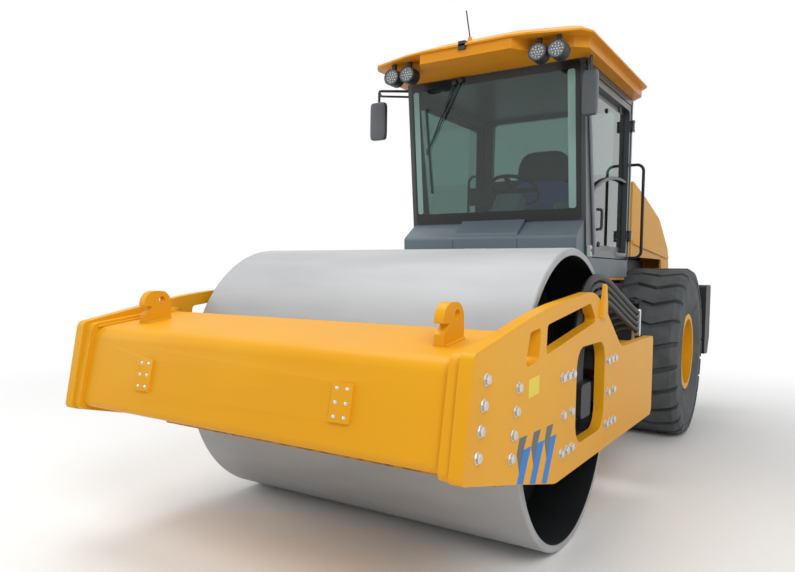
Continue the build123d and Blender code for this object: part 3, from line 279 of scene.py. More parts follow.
GREY_FILM = finish("grey_vinyl_film", "#5F666A", Roughness=0.45, Specular_IOR_Level=0.15)
PALE_FILM = finish("pale_yellow_vinyl_film", "#E2CB35", Roughness=0.5)
RED_LENS = finish("red_lamp_plastic", "#B5231C", Roughness=0.2, Coat_Weight=0.5)
print("materials", len(bpy.data.materials))

# %% [markdown]
# ## Painting the exact parts
# A part whose shape is already right only needs its finish. One table says which parts
# share a paint pot.

# %% Finishes on the exact parts
COATS = [
    (YELLOW, "lifting_hooks cross_beam rim_left rim_right rear_chassis"),
    (BLACK, "rear_axle engine_bay cooler side_tank_left side_tank_right steps_left steps_right handrails "
            "drum_carrier_left drum_carrier_right drum_motor_left drum_motor_right hitch hood_grille "
            "steering_barrel_left steering_barrel_right"),
    (PILLAR, "cab_frame door_left"),
    (DRUM_STEEL, "drum"), (WORN, "front_scraper rear_scraper"),
    (ZINC, "hose_clamp"), (CHROME, "steering_rod_left steering_rod_right"), (IRON, "engine_block"),
    (TYRE, "tyre_left tyre_right"), (RUBBER, "rubber_blocks_left rubber_blocks_right"),
    (TRIM, "mirrors steering_wheel work_lamps aerial"), (PANEL, "steering_console"), (CLOTH, "seat"),
    (GLASS, "windscreen side_glass rear_glass door_glass_left"),
]
for coat, names in COATS:
    for name in names.split():
        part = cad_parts[name]
        part.data.materials.clear()
        part.data.materials.append(coat)
print("coated", sum(len(names.split()) for _, names in COATS), "parts")

# %% [markdown]
# The drum's recessed ends take black as painted shade, and only its shell is rolled bright.
# Every face whose middle lies well inside the shell's radius takes this painted shade.

# %% Drum ends in painted shade
SHADED_END_SHARE = 0.955
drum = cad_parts["drum"]
# The black on the drum's recessed ends is painted shade.
drum.data.materials.append(BLACK)
centres = np.empty(len(drum.data.polygons) * 3)
drum.data.polygons.foreach_get("center", centres)
drum_place = np.array(drum.matrix_world)
centres = centres.reshape(-1, 3) @ drum_place[:3, :3].T + drum_place[:3, 3]
# Faces inside the shell's radius get the painted shade.
painted_shade_faces = np.hypot(centres[:, 1] - AXLE_Y, centres[:, 2] - DRUM_R) < SHADED_END_SHARE * DRUM_R
drum.data.polygons.foreach_set("material_index", painted_shade_faces.astype(int))
print("drum end faces", int(painted_shade_faces.sum()))


# %% [markdown]
# New pieces are put in place by one function. It merges the points where a surface meets
# itself, turns the faces outward, and says which body the piece rides on.

# %% Placing a piece
def place(name, shape, coat, body, smooth=35.0):
    """Mesh object from a shape; edges sharper than the angle in degrees stay crisp."""
    points, faces = shape
    mesh = bpy.data.meshes.new(name)
    mesh.from_pydata(points.tolist(), [], faces)
    tidy = bmesh.new()
    tidy.from_mesh(mesh)
    bmesh.ops.remove_doubles(tidy, verts=tidy.verts, dist=1e-6)
    bmesh.ops.dissolve_degenerate(tidy, edges=tidy.edges, dist=1e-7)
    bmesh.ops.recalc_face_normals(tidy, faces=tidy.faces)
    tidy.to_mesh(mesh)
    tidy.free()
    mesh.materials.append(coat)
    mesh.shade_smooth()
    mesh.set_sharp_from_angle(angle=np.radians(smooth))
    piece = bpy.data.objects.new(name, mesh)
    bpy.context.scene.collection.objects.link(piece)
    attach(piece, body)
    return piece


# %% [markdown]
# ## Edges that catch the light
# Flame-cut plate is ground before painting, so its edges are round by a few millimetres and
# show as a bright line. The exact part has sharp edges: a merged copy of it, with a Bevel
# modifier on every edge that turns by more than 30 degrees, stands in for it.

# %% Softened copies
SOFTENED = [  # node, edge width in mm, finish, body, slot
    ("side_plate_left", 7, YELLOW, "drum_frame", "body_yellow"),
    ("side_plate_right", 7, YELLOW, "drum_frame", "body_yellow"),
    ("front_beam", 6, YELLOW, "drum_frame", "body_yellow"),
    ("cab_roof", 9, ORANGE, "rear_frame", "roof_orange"),
    ("hood", 6, YELLOW, "hood", "body_yellow"),
    ("counterweight", 12, BLACK, "rear_frame", "frame_black"),
    ("front_cowl", 10, COWL, "rear_frame", "cowl_grey"),
    ("cab_base", 8, COWL, "rear_frame", "cowl_grey")]


def softened(node, width, coat, body, slot):
    """Merged copy of an exact part with its sharp edges rounded over a real width."""
    shape = bmesh.new()
    shape.from_mesh(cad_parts[node].data)
    bmesh.ops.remove_doubles(shape, verts=shape.verts, dist=2e-5)
    bmesh.ops.dissolve_limit(shape, angle_limit=np.radians(0.6), verts=shape.verts, edges=shape.edges)
    mesh = bpy.data.meshes.new(f"{node}_softened")
    shape.to_mesh(mesh)
    shape.free()
    mesh.materials.clear()
    mesh.materials.append(coat)
    mesh.shade_smooth()
    mesh.set_sharp_from_angle(angle=np.radians(50))
    piece = bpy.data.objects.new(f"{node}_softened", mesh)
    bpy.context.scene.collection.objects.link(piece)
    bevel = piece.modifiers.new("ground_edges", "BEVEL")
    bevel.width = width * MM / 2
    bevel.segments = 3
    bevel.limit_method = "ANGLE"
    bevel.angle_limit = np.radians(30)
    bevel.harden_normals = True
    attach(piece, body)
    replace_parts(piece, node)
    return piece


for row in SOFTENED:
    softened(*row)
print("softened", len(SOFTENED))


# %% [markdown]
# ## Bolts
# Big hexagon bolts hold the drum's rubber mounts and the front beam to the side plates. A
# bolt is two lathe turns: a washer with many sides and a head with six, domed by a chamfer.

# %% Hexagon bolts
def bolt(centre, axis, radius=22.0, height=17.4):
    """Washer and chamfered six-sided head, standing off a face along the axis."""
    seat, brim, chamfer = 0.2 * height, 1.22 * radius, 0.8 * height
    washer = turned([(0, 0), (0, brim), (0.8 * seat, brim), (seat, 0.96 * brim), (seat, 0)], centre, axis, 24)
    head = turned([(seat, radius), (chamfer, radius), (height, 0.82 * radius), (height, 0)], centre, axis, 6)
    return join([washer, head])


MOUNT_ROWS = [(190, (352, 440, 528)), (0, (372, 508)), (-190, (352, 440, 528))]   # above the axle, distances
DRUM_Z = DRUM_R / MM
BEAM_BOLTS = [(-1503, 1148), (-1527, 1051), (-1552, 956), (-1576, 858),
              (-1149, 1071), (-1172, 973), (-1200, 877), (-1224, 781)]   # u, z
mount_bolts = [(way * u, DRUM_Z + rise) for rise, row in MOUNT_ROWS for u in row for way in (1, -1)]
for label, side in (("left", 1), ("right", -1)):
    group = [bolt(at(side * PLATE_X, u, z), (side, 0, 0)) for u, z in mount_bolts + BEAM_BOLTS]
    place(f"plate_bolts_{label}", join(group), ZINC, "drum_frame", 25)
print("plate bolts", 2 * len(mount_bolts + BEAM_BOLTS))

# %% [markdown]
# Six low-domed rivets hold each of the two pads on the front beam. The pads' face leans back
# with the beam, so the leaning direction comes from two corners of the beam.

# %% Pad rivets
BEAM_FOOT, BEAM_BROW = np.array([-1668.0, 795.0]), np.array([-1572.0, 1222.0])   # u, z of the leaning face
lean = (BEAM_BROW - BEAM_FOOT) / np.linalg.norm(BEAM_BROW - BEAM_FOOT)
out = np.array([-lean[1], lean[0]])
PAD_X, PAD_MIDDLE, PAD_THICK = 616, 215, 14            # across, up the leaning face, and off it
RIVET = [(0, 0), (0, 9), (2, 8), (3.5, 4), (4, 0)]     # along, radius
rivets = []
for pad_x in (PAD_X, -PAD_X):
    for across in (-26, 26):
        for rise in (-60, 0, 60):
            u, z = BEAM_FOOT + lean * (PAD_MIDDLE + rise) + out * PAD_THICK
            rivets.append(turned(RIVET, at(pad_x + across, u, z), (0, *out), 16))
place("pad_rivets", join(rivets), ZINC, "drum_frame")
print("rivets", len(rivets))

# %% [markdown]
# ## Welds
# A fillet weld is a round bead with small ripples where the welder's torch paused. Here
# its radius swells and shrinks along the path by a cosine.


# %% Weld beads
def weld(path, radius=6.0, ripple=7.0):
    """Bead along a path, its radius rippled by a cosine with one ripple every few millimetres."""
    path = np.array(path, float)
    leg = np.linalg.norm(np.diff(path, axis=0), axis=1).sum()
    count = max(8, int(leg / MM / ripple * 4))
    t = np.linspace(0, len(path) - 1, count)
    line = np.stack([np.interp(t, np.arange(len(path)), path[:, k]) for k in range(3)], -1)
    points, faces = tube(line, radius * MM, 8)
    rings = points.reshape(count + 2, 8, 3)
    girth = 1 + 0.12 * np.cos(np.arange(count + 2) * np.pi / 2)
    middle = line[np.concatenate([[0], np.arange(count), [count - 1]])][:, None]
    return (middle + (rings - middle) * girth[:, None, None]).reshape(-1, 3), faces


HOOK_X, HOOK_HALF = 932.0, 23.0
HOOK_FOOT, COLLAR_RUN, COLLAR_DEPTH = (-1368, -1174), (-1560, -985), 110
TOP_FRONT, TOP_BACK = (-1572, 1222), (-960, 1292)      # u, z at both ends of the beam's top


def beam_top(u):
    """Height of the beam's top, which rises in a straight line towards the drum."""
    return TOP_FRONT[1] + (TOP_BACK[1] - TOP_FRONT[1]) * (u - TOP_FRONT[0]) / (TOP_BACK[0] - TOP_FRONT[0])


beads = []
for side in (1, -1):
    for edge in (-HOOK_HALF - 2, HOOK_HALF + 2):
        beads.append(weld([at(side * HOOK_X + edge, u, beam_top(u) + 2) for u in HOOK_FOOT]))
    beads.append(weld([at(side * (PLATE_X - COLLAR_DEPTH), u, beam_top(u) + 4) for u in COLLAR_RUN], 7))
place("weld_beads", join(beads), YELLOW, "drum_frame", 60)
print("welds", len(beads))

# %% [markdown]
# ## Film stripes
# Three slanted flashes of blue film, each with a grey shadow, run to the plate's lower edge.
# They are cut film, under a millimetre thick, on the plate's outer face.

# %% Stripes and blank plates
FLASH_U, FLASH_PITCH, FLASH_Z, FLASH_DROP = -1062.0, 184.0, 787.0, 6.0
EDGE_U, EDGE_Z, EDGE_RISE = -1135.0, 652.0, -0.2266      # a line just inside the plate's lower edge


def to_edge(u, z, slant=-0.62):
    """Where a ray going down and forward from a point meets the plate's lower edge line."""
    drop = (z - EDGE_Z - EDGE_RISE * (u - EDGE_U)) / (1 + EDGE_RISE * slant)
    return u + slant * drop, z - drop


def flash(number):
    """Outlines of a grey shadow and a blue flash that share the shadow's lower corner."""
    u, z = FLASH_U + FLASH_PITCH * number, FLASH_Z - FLASH_DROP * number
    tip, waist = (u - 49, z - 93), (u + 50, z - 74)
    shadow = [(u - 53, z + 60), (u + 42, z + 58), (u, z), tip, (u - 83, z - 3)]
    return shadow, [(u, z), (u + 97, z - 3), waist, to_edge(*waist), to_edge(*tip), tip]


GREY_SHADOWS, BLUE_FLASHES = zip(*(flash(number) for number in range(3)))
FILM = 0.6
LABEL = [(-1014, 1005), (-876, 1012), (-876, 1095), (-1014, 1088)]


def film(outlines, x, side):
    """Thin plates on a side plate's outer face, one for each outline of (u, z)."""
    return join([prism([at(x, u, z) for u, z in line], (side * FILM * MM, 0, 0)) for line in outlines])


for label, side in (("left", 1), ("right", -1)):
    face = side * (PLATE_X + 0.1)
    place(f"blue_flashes_{label}", film(BLUE_FLASHES, face, side), BLUE_FILM, "drum_frame")
    place(f"grey_flashes_{label}", film(GREY_SHADOWS, face, side), GREY_FILM, "drum_frame")
    place(f"blank_plate_{label}", film([LABEL], face, side), PALE_FILM, "drum_frame")
print("film pieces", 6)

# %% [markdown]
# ## Hoses
# Four hydraulic hoses feed the drum motor. They run up behind the left side plate, over its
# hump, through the stack clamp and down into the cross beam. Each is one smooth spline whose
# control points are the corners of its route.

# %% Motor hoses
HOSE_X, MOTOR_TOP, HOSE_BEAM_Z = PLATE_X - 78, DRUM_Z + 95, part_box("cross_beam")[1][2] / MM
clamp_u = (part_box("hose_clamp")[0][1] - AXLE_Y) / MM
HOSES = [  # radius, u at the motor, height over the plate, height in the clamp, x at the beam
    (22, -66, 1705, 1268, 820), (18, -20, 1655, 1222, 860),
    (18, 20, 1600, 1180, 900), (18, 60, 1548, 1138, 940)]
for number, (radius, motor_u, over_z, clamp_z, end_x) in enumerate(HOSES, 1):
    turn_u = clamp_u + 150
    route = [at(HOSE_X, motor_u, MOTOR_TOP), at(HOSE_X, motor_u, over_z), at(HOSE_X, clamp_u - 10, clamp_z),
             at(HOSE_X, turn_u, clamp_z), at(end_x, turn_u, clamp_z), at(end_x, turn_u, HOSE_BEAM_Z)]
    curve = bpy.data.curves.new(f"motor_hose_{number}", "CURVE")
    curve.dimensions = "3D"
    spline = curve.splines.new("NURBS")
    spline.points.add(len(route) - 1)
    spline.points.foreach_set("co", np.hstack([np.array(route), np.ones((len(route), 1))]).ravel())
    spline.order_u = 3
    spline.use_endpoint_u = True
    spline.resolution_u = 16
    curve.bevel_depth = radius * MM
    curve.bevel_resolution = 5
    curve.use_fill_caps = True
    curve.materials.append(RUBBER)
    hose = bpy.data.objects.new(f"motor_hose_{number}", curve)
    bpy.context.scene.collection.objects.link(hose)
    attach(hose, "drum_frame")
    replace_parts(hose, "drum_hoses")
print("hoses", len(HOSES))

# %% [markdown]
# ## Glass borders
# Bonded glass has a black ceramic border that hides the glue. Each border is a frame-shaped
# plate between two outlines with the same number of points, on the outer face of its pane.
# The windscreen also has a pale strip up each side, in place of the pillars that would show
# through curved glass.

# %% Ceramic borders
def corner_outline(corners, radius, steps=7):
    """Closed outline in two parameters: each corner is a quarter-like arc between its two sides."""
    corners = np.array(corners, float)
    before, after = np.roll(corners, 1, 0) - corners, np.roll(corners, -1, 0) - corners
    before /= np.linalg.norm(before, axis=1)[:, None]
    after /= np.linalg.norm(after, axis=1)[:, None]
    t = np.linspace(0, 1, steps)[None, :, None]
    start, end = corners + before * radius, corners + after * radius
    bends = (1 - t) ** 2 * start[:, None] + 2 * t * (1 - t) * corners[:, None] + t ** 2 * end[:, None]
    return bends.reshape(-1, 2)


def border(outer, inner, lift, depth):
    """Frame between two outlines; lift turns a pair of parameters into a point on the pane."""
    front_out, front_in = lift(outer), lift(inner)
    back_out, back_in = front_out + depth, front_in + depth
    return grid(np.stack([front_out, front_in, back_in, back_out]), wrap_rows=True, wrap_cols=True)


SCREEN_THICK, SCREEN_FACE = 0.006, 0.0062      # the pane's depth in y, and where its outer face is
screen_low, screen_high = (np.array(v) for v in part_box("windscreen"))
screen_run = (screen_low[1] - screen_high[1] + SCREEN_THICK) / (screen_high[2] - screen_low[2])


def on_screen(points, off=0.0006):
    """Point on the windscreen's outer face from (x, z) in metres."""
    x, z = np.array(points, float).T
    y = screen_high[1] - SCREEN_FACE + screen_run * (z - screen_low[2]) - off
    return np.stack([x, y, z], -1)


screen_half, screen_foot, screen_head = screen_high[0], screen_low[2], screen_high[2]
outer = corner_outline([(-screen_half, screen_foot), (screen_half, screen_foot),
                        (screen_half, screen_head), (-screen_half, screen_head)], 0.03)
clear_left, clear_right = -screen_half + 0.014, screen_half - 0.03
clear_foot, clear_head = screen_foot + 0.085, screen_head - 0.055
inner = corner_outline([(clear_left, clear_foot), (clear_right, clear_foot),
                        (clear_right, clear_head), (clear_left, clear_head)], 0.03)
screen_band = border(outer, inner, on_screen, np.array([0, -0.001, 0]))
place("windscreen_border", screen_band, FRIT, "rear_frame")

trims = []
for near, far in ((-screen_half + 0.016, -screen_half + 0.066), (screen_half - 0.088, screen_half - 0.032)):
    edge = corner_outline([(near, screen_foot + 0.088), (far, screen_foot + 0.088),
                           (far, screen_head - 0.06), (near, screen_head - 0.06)], 0.02)
    trims.append(prism(on_screen(edge, 0.0004), (0, -0.0006, 0)))
place("windscreen_side_trims", join(trims), PALE_PRINT, "rear_frame")

door_low, door_high = (np.array(v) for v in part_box("door_glass_left"))
DOOR_LEAN = 0.284      # how far the door glass's front edge leans over its height, in metres
SIDE_PANES = [("door_left_border", door_low, door_high, 1, "door_left"),
              ("side_window_border", *(np.array(v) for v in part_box("side_glass")), -1, "rear_frame")]
band = 0.05
for name, low, high, side, body in SIDE_PANES:
    lean_run = DOOR_LEAN * (high[2] - low[2]) / (door_high[2] - door_low[2])
    face = (high[0] if side > 0 else low[0]) + side * 0.0006

    def on_side(points, face=face):
        """Point on a side pane's outer face from (y, z) in metres."""
        y, z = np.array(points).T
        return np.stack([np.full_like(y, face), y, z], -1)

    rim = [(low[1] + lean_run, low[2]), (low[1], high[2]), (high[1], high[2]), (high[1], low[2])]
    core = [(rim[0][0] + band, rim[0][1] + band), (rim[1][0] + band * 1.2, rim[1][1] - band),
            (rim[2][0] - band, rim[2][1] - band), (rim[3][0] - band, rim[3][1] + band)]
    depth = np.array([side * 0.001, 0, 0])
    shape = border(corner_outline(rim, 0.02), corner_outline(core, 0.05), on_side, depth)
    place(name, shape, FRIT, body)
print("glass borders", 3)

# %% [markdown]
# ## Cab tubes, knobs and wiper
# A silver-grey tube runs up the door's front edge. Three black knobs clamp the door glass, and
# a wiper hangs from the header on a pair of arms with its blade nearly upright on the glass.

# %% Cab fittings
cab_foot_u = (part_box("cab_base")[0][1] - AXLE_Y) / MM
cab_back_u = (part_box("cab_base")[1][1] - AXLE_Y) / MM
tube_x = CAB_X + 9
TUBE_RUN = [(185, 1706), (172, 1800), (-90, 2960), (-102, 3066)]      # u from the cab's foot, z
door_tube = tube(smooth_path([at(tube_x, cab_foot_u + du, z) for du, z in TUBE_RUN], 40), 0.013)
place("door_front_tube", door_tube, SILVER_PAINT, "door_left")
KNOB = [(0, 0), (0, 22), (14, 22), (20, 15), (20, 0)]                 # along, radius
KNOB_PLACES = [(90, 2870), (860, 2960), (300, 1790)]                  # u from the cab's foot, z
knobs = [turned(KNOB, at(CAB_X + 1, cab_foot_u + du, z), (1, 0, 0), 20) for du, z in KNOB_PLACES]
place("door_glass_knobs", join(knobs), TRIM, "door_left")
HANDLE_RUN = [(0, 250, 1905), (42, 256, 1910), (42, 256, 2060), (0, 250, 2066)]   # x off the cab, u, z
handle = tube(smooth_path([at(CAB_X + dx, cab_foot_u + du, z) for dx, du, z in HANDLE_RUN], 32), 0.011)
place("door_handle", handle, TRIM, "door_left")
screen_rise = screen_head - screen_foot
pivots = on_screen([(-0.34 * screen_half, screen_head - 0.02),
                    (-0.42 * screen_half, screen_head - 0.03)], 0.02)
elbow = on_screen([(-0.8 * screen_half, screen_head - 0.48 * screen_rise)] * 2, 0.02)
blade = on_screen([(-0.81 * screen_half, screen_head - 0.18 * screen_rise),
                   (-0.77 * screen_half, screen_head - 0.78 * screen_rise)], 0.01)
arms = [tube([start, end], 0.006, 10) for start, end in zip(pivots, elbow)]
SPINDLE = [(-18, 0), (-18, 20), (12, 20), (16, 12), (16, 0)]          # along, radius
spindles = [turned(SPINDLE, start, (0, -1, -0.12), 18) for start in pivots]
clip = block(elbow[0] - np.array([0.012, 0.004, 0.03]), elbow[0] + np.array([0.012, 0.014, 0.03]))
place("wiper", join([*arms, *spindles, clip, tube(np.linspace(*blade, 6), 0.009, 8)]), TRIM, "rear_frame")
rear_post = block(at(CAB_X - 1, cab_back_u - 30, 1700), at(CAB_X + 5, cab_back_u - 2, 3120))
place("rear_post_strip", rear_post, SILVER_PAINT, "rear_frame")
MARKER_FACE = CAB_X + 22
marker = block(at(CAB_X - 30, cab_foot_u + 18, 1690), at(MARKER_FACE, cab_foot_u + 78, 1772))
place("marker_lamp_box", marker, PANEL, "rear_frame")
DOME = [(0, 0), (0, 13), (5, 12), (8, 6), (9, 0)]                     # along, radius
dome = turned(DOME, at(MARKER_FACE, cab_foot_u + 48, 1735), (1, 0, 0), 20)
place("marker_lamp_lens", dome, RED_LENS, "rear_frame")
box_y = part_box("cab_roof")[0][1]
sensor = block((-0.035, box_y, 3.2), (0.02, box_y + 0.05, 3.262))
place("roof_sensor_box", sensor, TRIM, "rear_frame")
print("cab fittings placed")

# %% [markdown]
# ## Cowl seams
# The cowl is three mouldings. The joints show as dark grooves, drawn as thin rubber beads
# that lie half in the surface. A bright bead marks the grip in the middle moulding.

# %% Seams
cowl_front_u = (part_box("front_cowl")[0][1] - AXLE_Y) / MM
SEAM_R, SEAM_X, COWL_EDGE_X = 0.003, 270, 716
UPRIGHT_SEAMS = [((17.2, 1610), (1.5, 1818)), ((30, 1856), (192, 1961))]   # u from the cowl's front, z
seams = [tube([at(x, cowl_front_u + du, z) for du, z in ends], SEAM_R, 6)
         for x in (-SEAM_X, SEAM_X) for ends in UPRIGHT_SEAMS]
seams.append(tube([at(x, cowl_front_u + 10.5, 1700) for x in (-COWL_EDGE_X, COWL_EDGE_X)], SEAM_R, 6))
place("cowl_seams", join(seams), RUBBER, "rear_frame")
grip = tube([at(x, cowl_front_u + 7, 1745) for x in (-172, 24)], 0.004, 8)
place("cowl_grip", grip, SILVER_PAINT, "rear_frame")
print("seams", len(seams))

# %% [markdown]
# ## Work lamps
# Four round LED lamps hang in pairs under the roof's front corners. Each has a black ring, a
# bright dish turned from a curve, a clear lens, and a cluster of small domed emitters.

# %% Lamps
lamp_low, lamp_high = (np.array(v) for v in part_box("work_lamps"))
LAMP_R, LAMP_PITCH = 64, 138
RING_CURVE = [(0.2, LAMP_R), (-9, LAMP_R), (-11, 61), (-9, 55), (0.2, 55)]        # along, radius
DISH_CURVE = [(-1, 0), (-1, 20), (-3, 44), (-8, 56), (-0.5, 56), (-0.5, 0)]
LENS_CURVE = [(-6.5, 0), (-6.5, 54), (-8.2, 54), (-8.6, 0)]
EMITTER_CURVE = [(0, 6), (-3, 5), (-4.5, 2.5), (-5, 0)]
EMITTER_RINGS = [(0, 1), (20, 6), (38, 10)]                                       # radius, count
lamp_x, lamp_face_y = lamp_high[0] / MM - LAMP_R, lamp_low[1]
lamp_z = lamp_low[2] / MM + LAMP_R
rings, dishes, dots, lenses = [], [], [], []
for x in (lamp_x, lamp_x - LAMP_PITCH, LAMP_PITCH - lamp_x, -lamp_x):
    centre = np.array([x * MM, lamp_face_y, lamp_z * MM])
    rings.append(turned(RING_CURVE, centre, (0, 1, 0), 40))
    dishes.append(turned(DISH_CURVE, centre, (0, 1, 0), 40))
    lenses.append(turned(LENS_CURVE, centre, (0, 1, 0), 40))
    for ring_r, count in EMITTER_RINGS:
        for turn in np.linspace(0, 2 * np.pi, count, endpoint=False):
            spot = centre + np.array([np.cos(turn) * ring_r * MM, -0.001, np.sin(turn) * ring_r * MM])
            dots.append(turned(EMITTER_CURVE, spot, (0, 1, 0), 10))
place("lamp_rings", join(rings), TRIM, "rear_frame")
place("lamp_dishes", join(dishes), DISH, "rear_frame")
place("lamp_emitters", join(dots), EMITTER, "rear_frame")
place("lamp_lenses", join(lenses), LENS, "rear_frame")
print("lamps", len(rings), "emitters", len(dots))

# %% [markdown]
# ## Wheel bolts
# Each rim is held by twenty studs with nuts on its disc, and the hub by a ring of small
# bolts. They ride with the wheel, so they turn with it.

# %% Rim nuts
NUT_RINGS = [(20, 265, 859, 14), (12, 150, 991, 8)]    # count, ring radius, x of the face, nut size
for label, side in (("left", 1), ("right", -1)):
    nuts = []
    for count, ring_r, face_x, size in NUT_RINGS:
        for turn in np.linspace(0, 2 * np.pi, count, endpoint=False):
            spot = at(side * face_x, REAR_U + ring_r * np.cos(turn), AXLE_Z + ring_r * np.sin(turn))
            nuts.append(bolt(spot, (side, 0, 0), size, size))
    place(f"wheel_nuts_{label}", join(nuts), IRON, f"wheel_{label}", 25)
print("wheel nuts", 2 * sum(row[0] for row in NUT_RINGS))

# %% [markdown]
# ## Inside the cab
# Through the glass show a monitor box on its stalk and the seat. The monitor is a plain box.
# The seat is foam under woven cloth with a blue cover over its back, so it is made as swollen
# cushions: rounded boxes whose corners follow a fourth-power superellipse.


# %% Cushions and monitor
def signed_power(value, power):
    """Signed power of a cosine or sine, which turns a circle into a superellipse."""
    return np.sign(value) * np.abs(value) ** (2 / power)


def cushion(centre, size, lean=0.0, power=4.0, rows=24, cols=40):
    """Superellipsoid: signed powers of the cosines and sines of two angles, scaled to half sizes."""
    up = np.linspace(-np.pi / 2, np.pi / 2, rows)[:, None]
    turn = np.linspace(-np.pi, np.pi, cols, endpoint=False)[None, :]
    across, along = np.cos(turn), np.sin(turn)
    level = signed_power(np.cos(up), power)
    unit = [level * signed_power(across, power), level * signed_power(along, power),
            signed_power(np.sin(up), power)]
    points = np.stack(np.broadcast_arrays(*unit), -1) * np.array(size) / 2 * MM
    y = points[..., 1] + lean * points[..., 2]
    return grid(np.array(centre) + np.stack([points[..., 0], y, points[..., 2]], -1), wrap_cols=True)


seat_u = cab_back_u - 500
seat_pad = place("seat_cushion", cushion(at(0, seat_u, 2070), (520, 540, 150)), CLOTH, "rear_frame",
                 70)
back_pad = place("seat_back", cushion(at(0, seat_u + 285, 2400), (490, 120, 640), 0.12), CLOTH, "rear_frame",
                 70)
cover = place("seat_cover", cushion(at(0, seat_u + 262, 2270), (530, 140, 340), 0.12), BLUE_CLOTH,
              "rear_frame", 70)
for pad in (seat_pad, back_pad, cover):
    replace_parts(pad, "seat")
seat_base = block(at(-190, seat_u - 170, 1681), at(190, seat_u + 200, 2000))
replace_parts(place("seat_base", seat_base, TRIM, "rear_frame"), "seat")
monitor = block(at(-330, cab_foot_u + 240, 2140), at(-130, cab_foot_u + 275, 2290))
place("monitor_box", monitor, TRIM, "rear_frame")
STALK_RUN = [(-230, 270, 2150), (-150, 290, 2050), (-90, 290, 2020)]  # x, u from the cab's foot, z
stalk = tube([at(x, cab_foot_u + du, z) for x, du, z in STALK_RUN], 0.012)
place("monitor_stalk", stalk, TRIM, "rear_frame")
print("cab interior placed")

# %% [markdown]
# ## Mirrors
# A mirror is a moulded shell with a silvered glass that faces the driver, on a frame of two
# bent tubes. The shell is a rounded box whose corners follow an eighth-power superellipse.

# %% Mirrors
ARM_Z, HEAD_Z, HEAD_HEIGHT = 3118, 2855, 322
MIRROR_HEADS = [(-965, 148, cab_foot_u - 275), (812, 104, cab_foot_u - 303)]   # x, width, u of the head
shells, frames, glasses = [], [], []
for x, width, u in MIRROR_HEADS:
    foot_x, foot_u = np.sign(x) * CAB_X, cab_foot_u - 105
    shells.append(cushion(at(x, u - 3, HEAD_Z), (width, 54, HEAD_HEIGHT), power=8.0))
    frames.append(tube(smooth_path([at(foot_x, foot_u, ARM_Z), at(x, u, ARM_Z), at(x, u, 2990)], 40), 0.011))
    frames.append(tube(smooth_path([at(foot_x, foot_u, ARM_Z - 48), at(x - np.sign(x) * 20, u, ARM_Z - 48),
                                    at(x, u, ARM_Z - 14)], 40), 0.009))
    frames.append(block(at(foot_x - 4, foot_u - 30, ARM_Z - 66),
                        at(foot_x + np.sign(x) * 18, foot_u + 30, ARM_Z + 22)))
    half, rise = width / 2 - 12, HEAD_HEIGHT / 2 - 14
    corners = corner_outline([(x - half, HEAD_Z - rise), (x + half, HEAD_Z - rise),
                              (x + half, HEAD_Z + rise), (x - half, HEAD_Z + rise)], 24)
    glasses.append(prism(at(corners[:, 0], u + 23.6, corners[:, 1]), (0, 0.0015, 0)))
for piece in (place("mirror_shells", join(shells), MIRROR_SHELL, "rear_frame", 60),
              place("mirror_frames", join(frames), TRIM, "rear_frame")):
    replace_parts(piece, "mirrors")
place("mirror_glass", join(glasses), MIRROR, "rear_frame")
print("mirrors", len(glasses))

# %% [markdown]
# ## Steps, lights and rear details
# The step plates have rows of raised anti-slip buttons. Two pairs of round red lamps sit on
# the counterweight's rear face.

# %% Step buttons and rear lamps
STEP_TOPS = (650, 990, 1330)
BUTTON = [(0, 0), (0, 8), (2.5, 6.5), (2.5, 0)]                       # along, radius
BUTTON_COLUMNS = np.arange(770, 895, 30)
for label, side in (("left", 1), ("right", -1)):
    low, high = (np.array(v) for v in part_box(f"steps_{label}"))
    rows = np.arange(low[1] + 0.03, high[1] - 0.02, 0.035)
    buttons = [turned(BUTTON, (side * x * MM, y, z * MM), (0, 0, 1), 10)
               for z in STEP_TOPS for x in BUTTON_COLUMNS for y in rows]
    place(f"step_buttons_{label}", join(buttons), BLACK, "rear_frame")
LAMP_SETBACK = 80                                                     # the lamps' face lies ahead of the tail
rear_face = (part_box("counterweight")[1][1] - AXLE_Y) / MM - LAMP_SETBACK
REAR_LENS = [(0, 0), (0, 55), (10, 55), (22, 44), (26, 0)]            # along, radius
REAR_LAMP_X, REAR_LAMP_Z = (930, 1060), 1270
rear_lamps = [turned(REAR_LENS, at(side * x, rear_face, REAR_LAMP_Z), (0, 1, 0), 32)
              for side in (1, -1) for x in REAR_LAMP_X]
place("rear_lamps", join(rear_lamps), RED_LENS, "rear_frame")
print("rear lamps", len(rear_lamps))

# %% [markdown]
# ## Studio
# A pale floor that fades to white far from the machine, a white surround that the camera,
# glossy and clear surfaces see, and three soft lamps: a key ahead and to one side, a big one
# overhead and a weaker fill from the other side.

# %% Floor, surround and lamps
FLOOR_R, FADE_FROM, FADE_TO = 60.0, 2.6, 8.0
angle = np.linspace(0, 2 * np.pi, 96, endpoint=False)
disc = np.stack([np.cos(angle) * FLOOR_R, np.sin(angle) * FLOOR_R, np.zeros(96)], -1)
floor_mesh = bpy.data.meshes.new("floor")
floor_mesh.from_pydata(disc.tolist(), [], [list(range(96))])
floor = bpy.data.objects.new("floor", floor_mesh)
bpy.context.scene.collection.objects.link(floor)
floor_coat = bpy.data.materials.new("pale_floor")
floor_coat.use_nodes = True
floor_tree = floor_coat.node_tree
base = floor_tree.nodes["Principled BSDF"]
base.inputs["Base Color"].default_value = linear("#F2F2F1")
base.inputs["Roughness"].default_value = 0.7
spot = add(floor_tree, "ShaderNodeTexCoord").outputs["Object"]
far = add(floor_tree, "ShaderNodeVectorMath", {0: spot}, operation="LENGTH").outputs["Value"]
fade = add(floor_tree, "ShaderNodeMapRange", {"Value": far, "From Min": FADE_FROM, "From Max": FADE_TO},
           interpolation_type="SMOOTHSTEP").outputs["Result"]
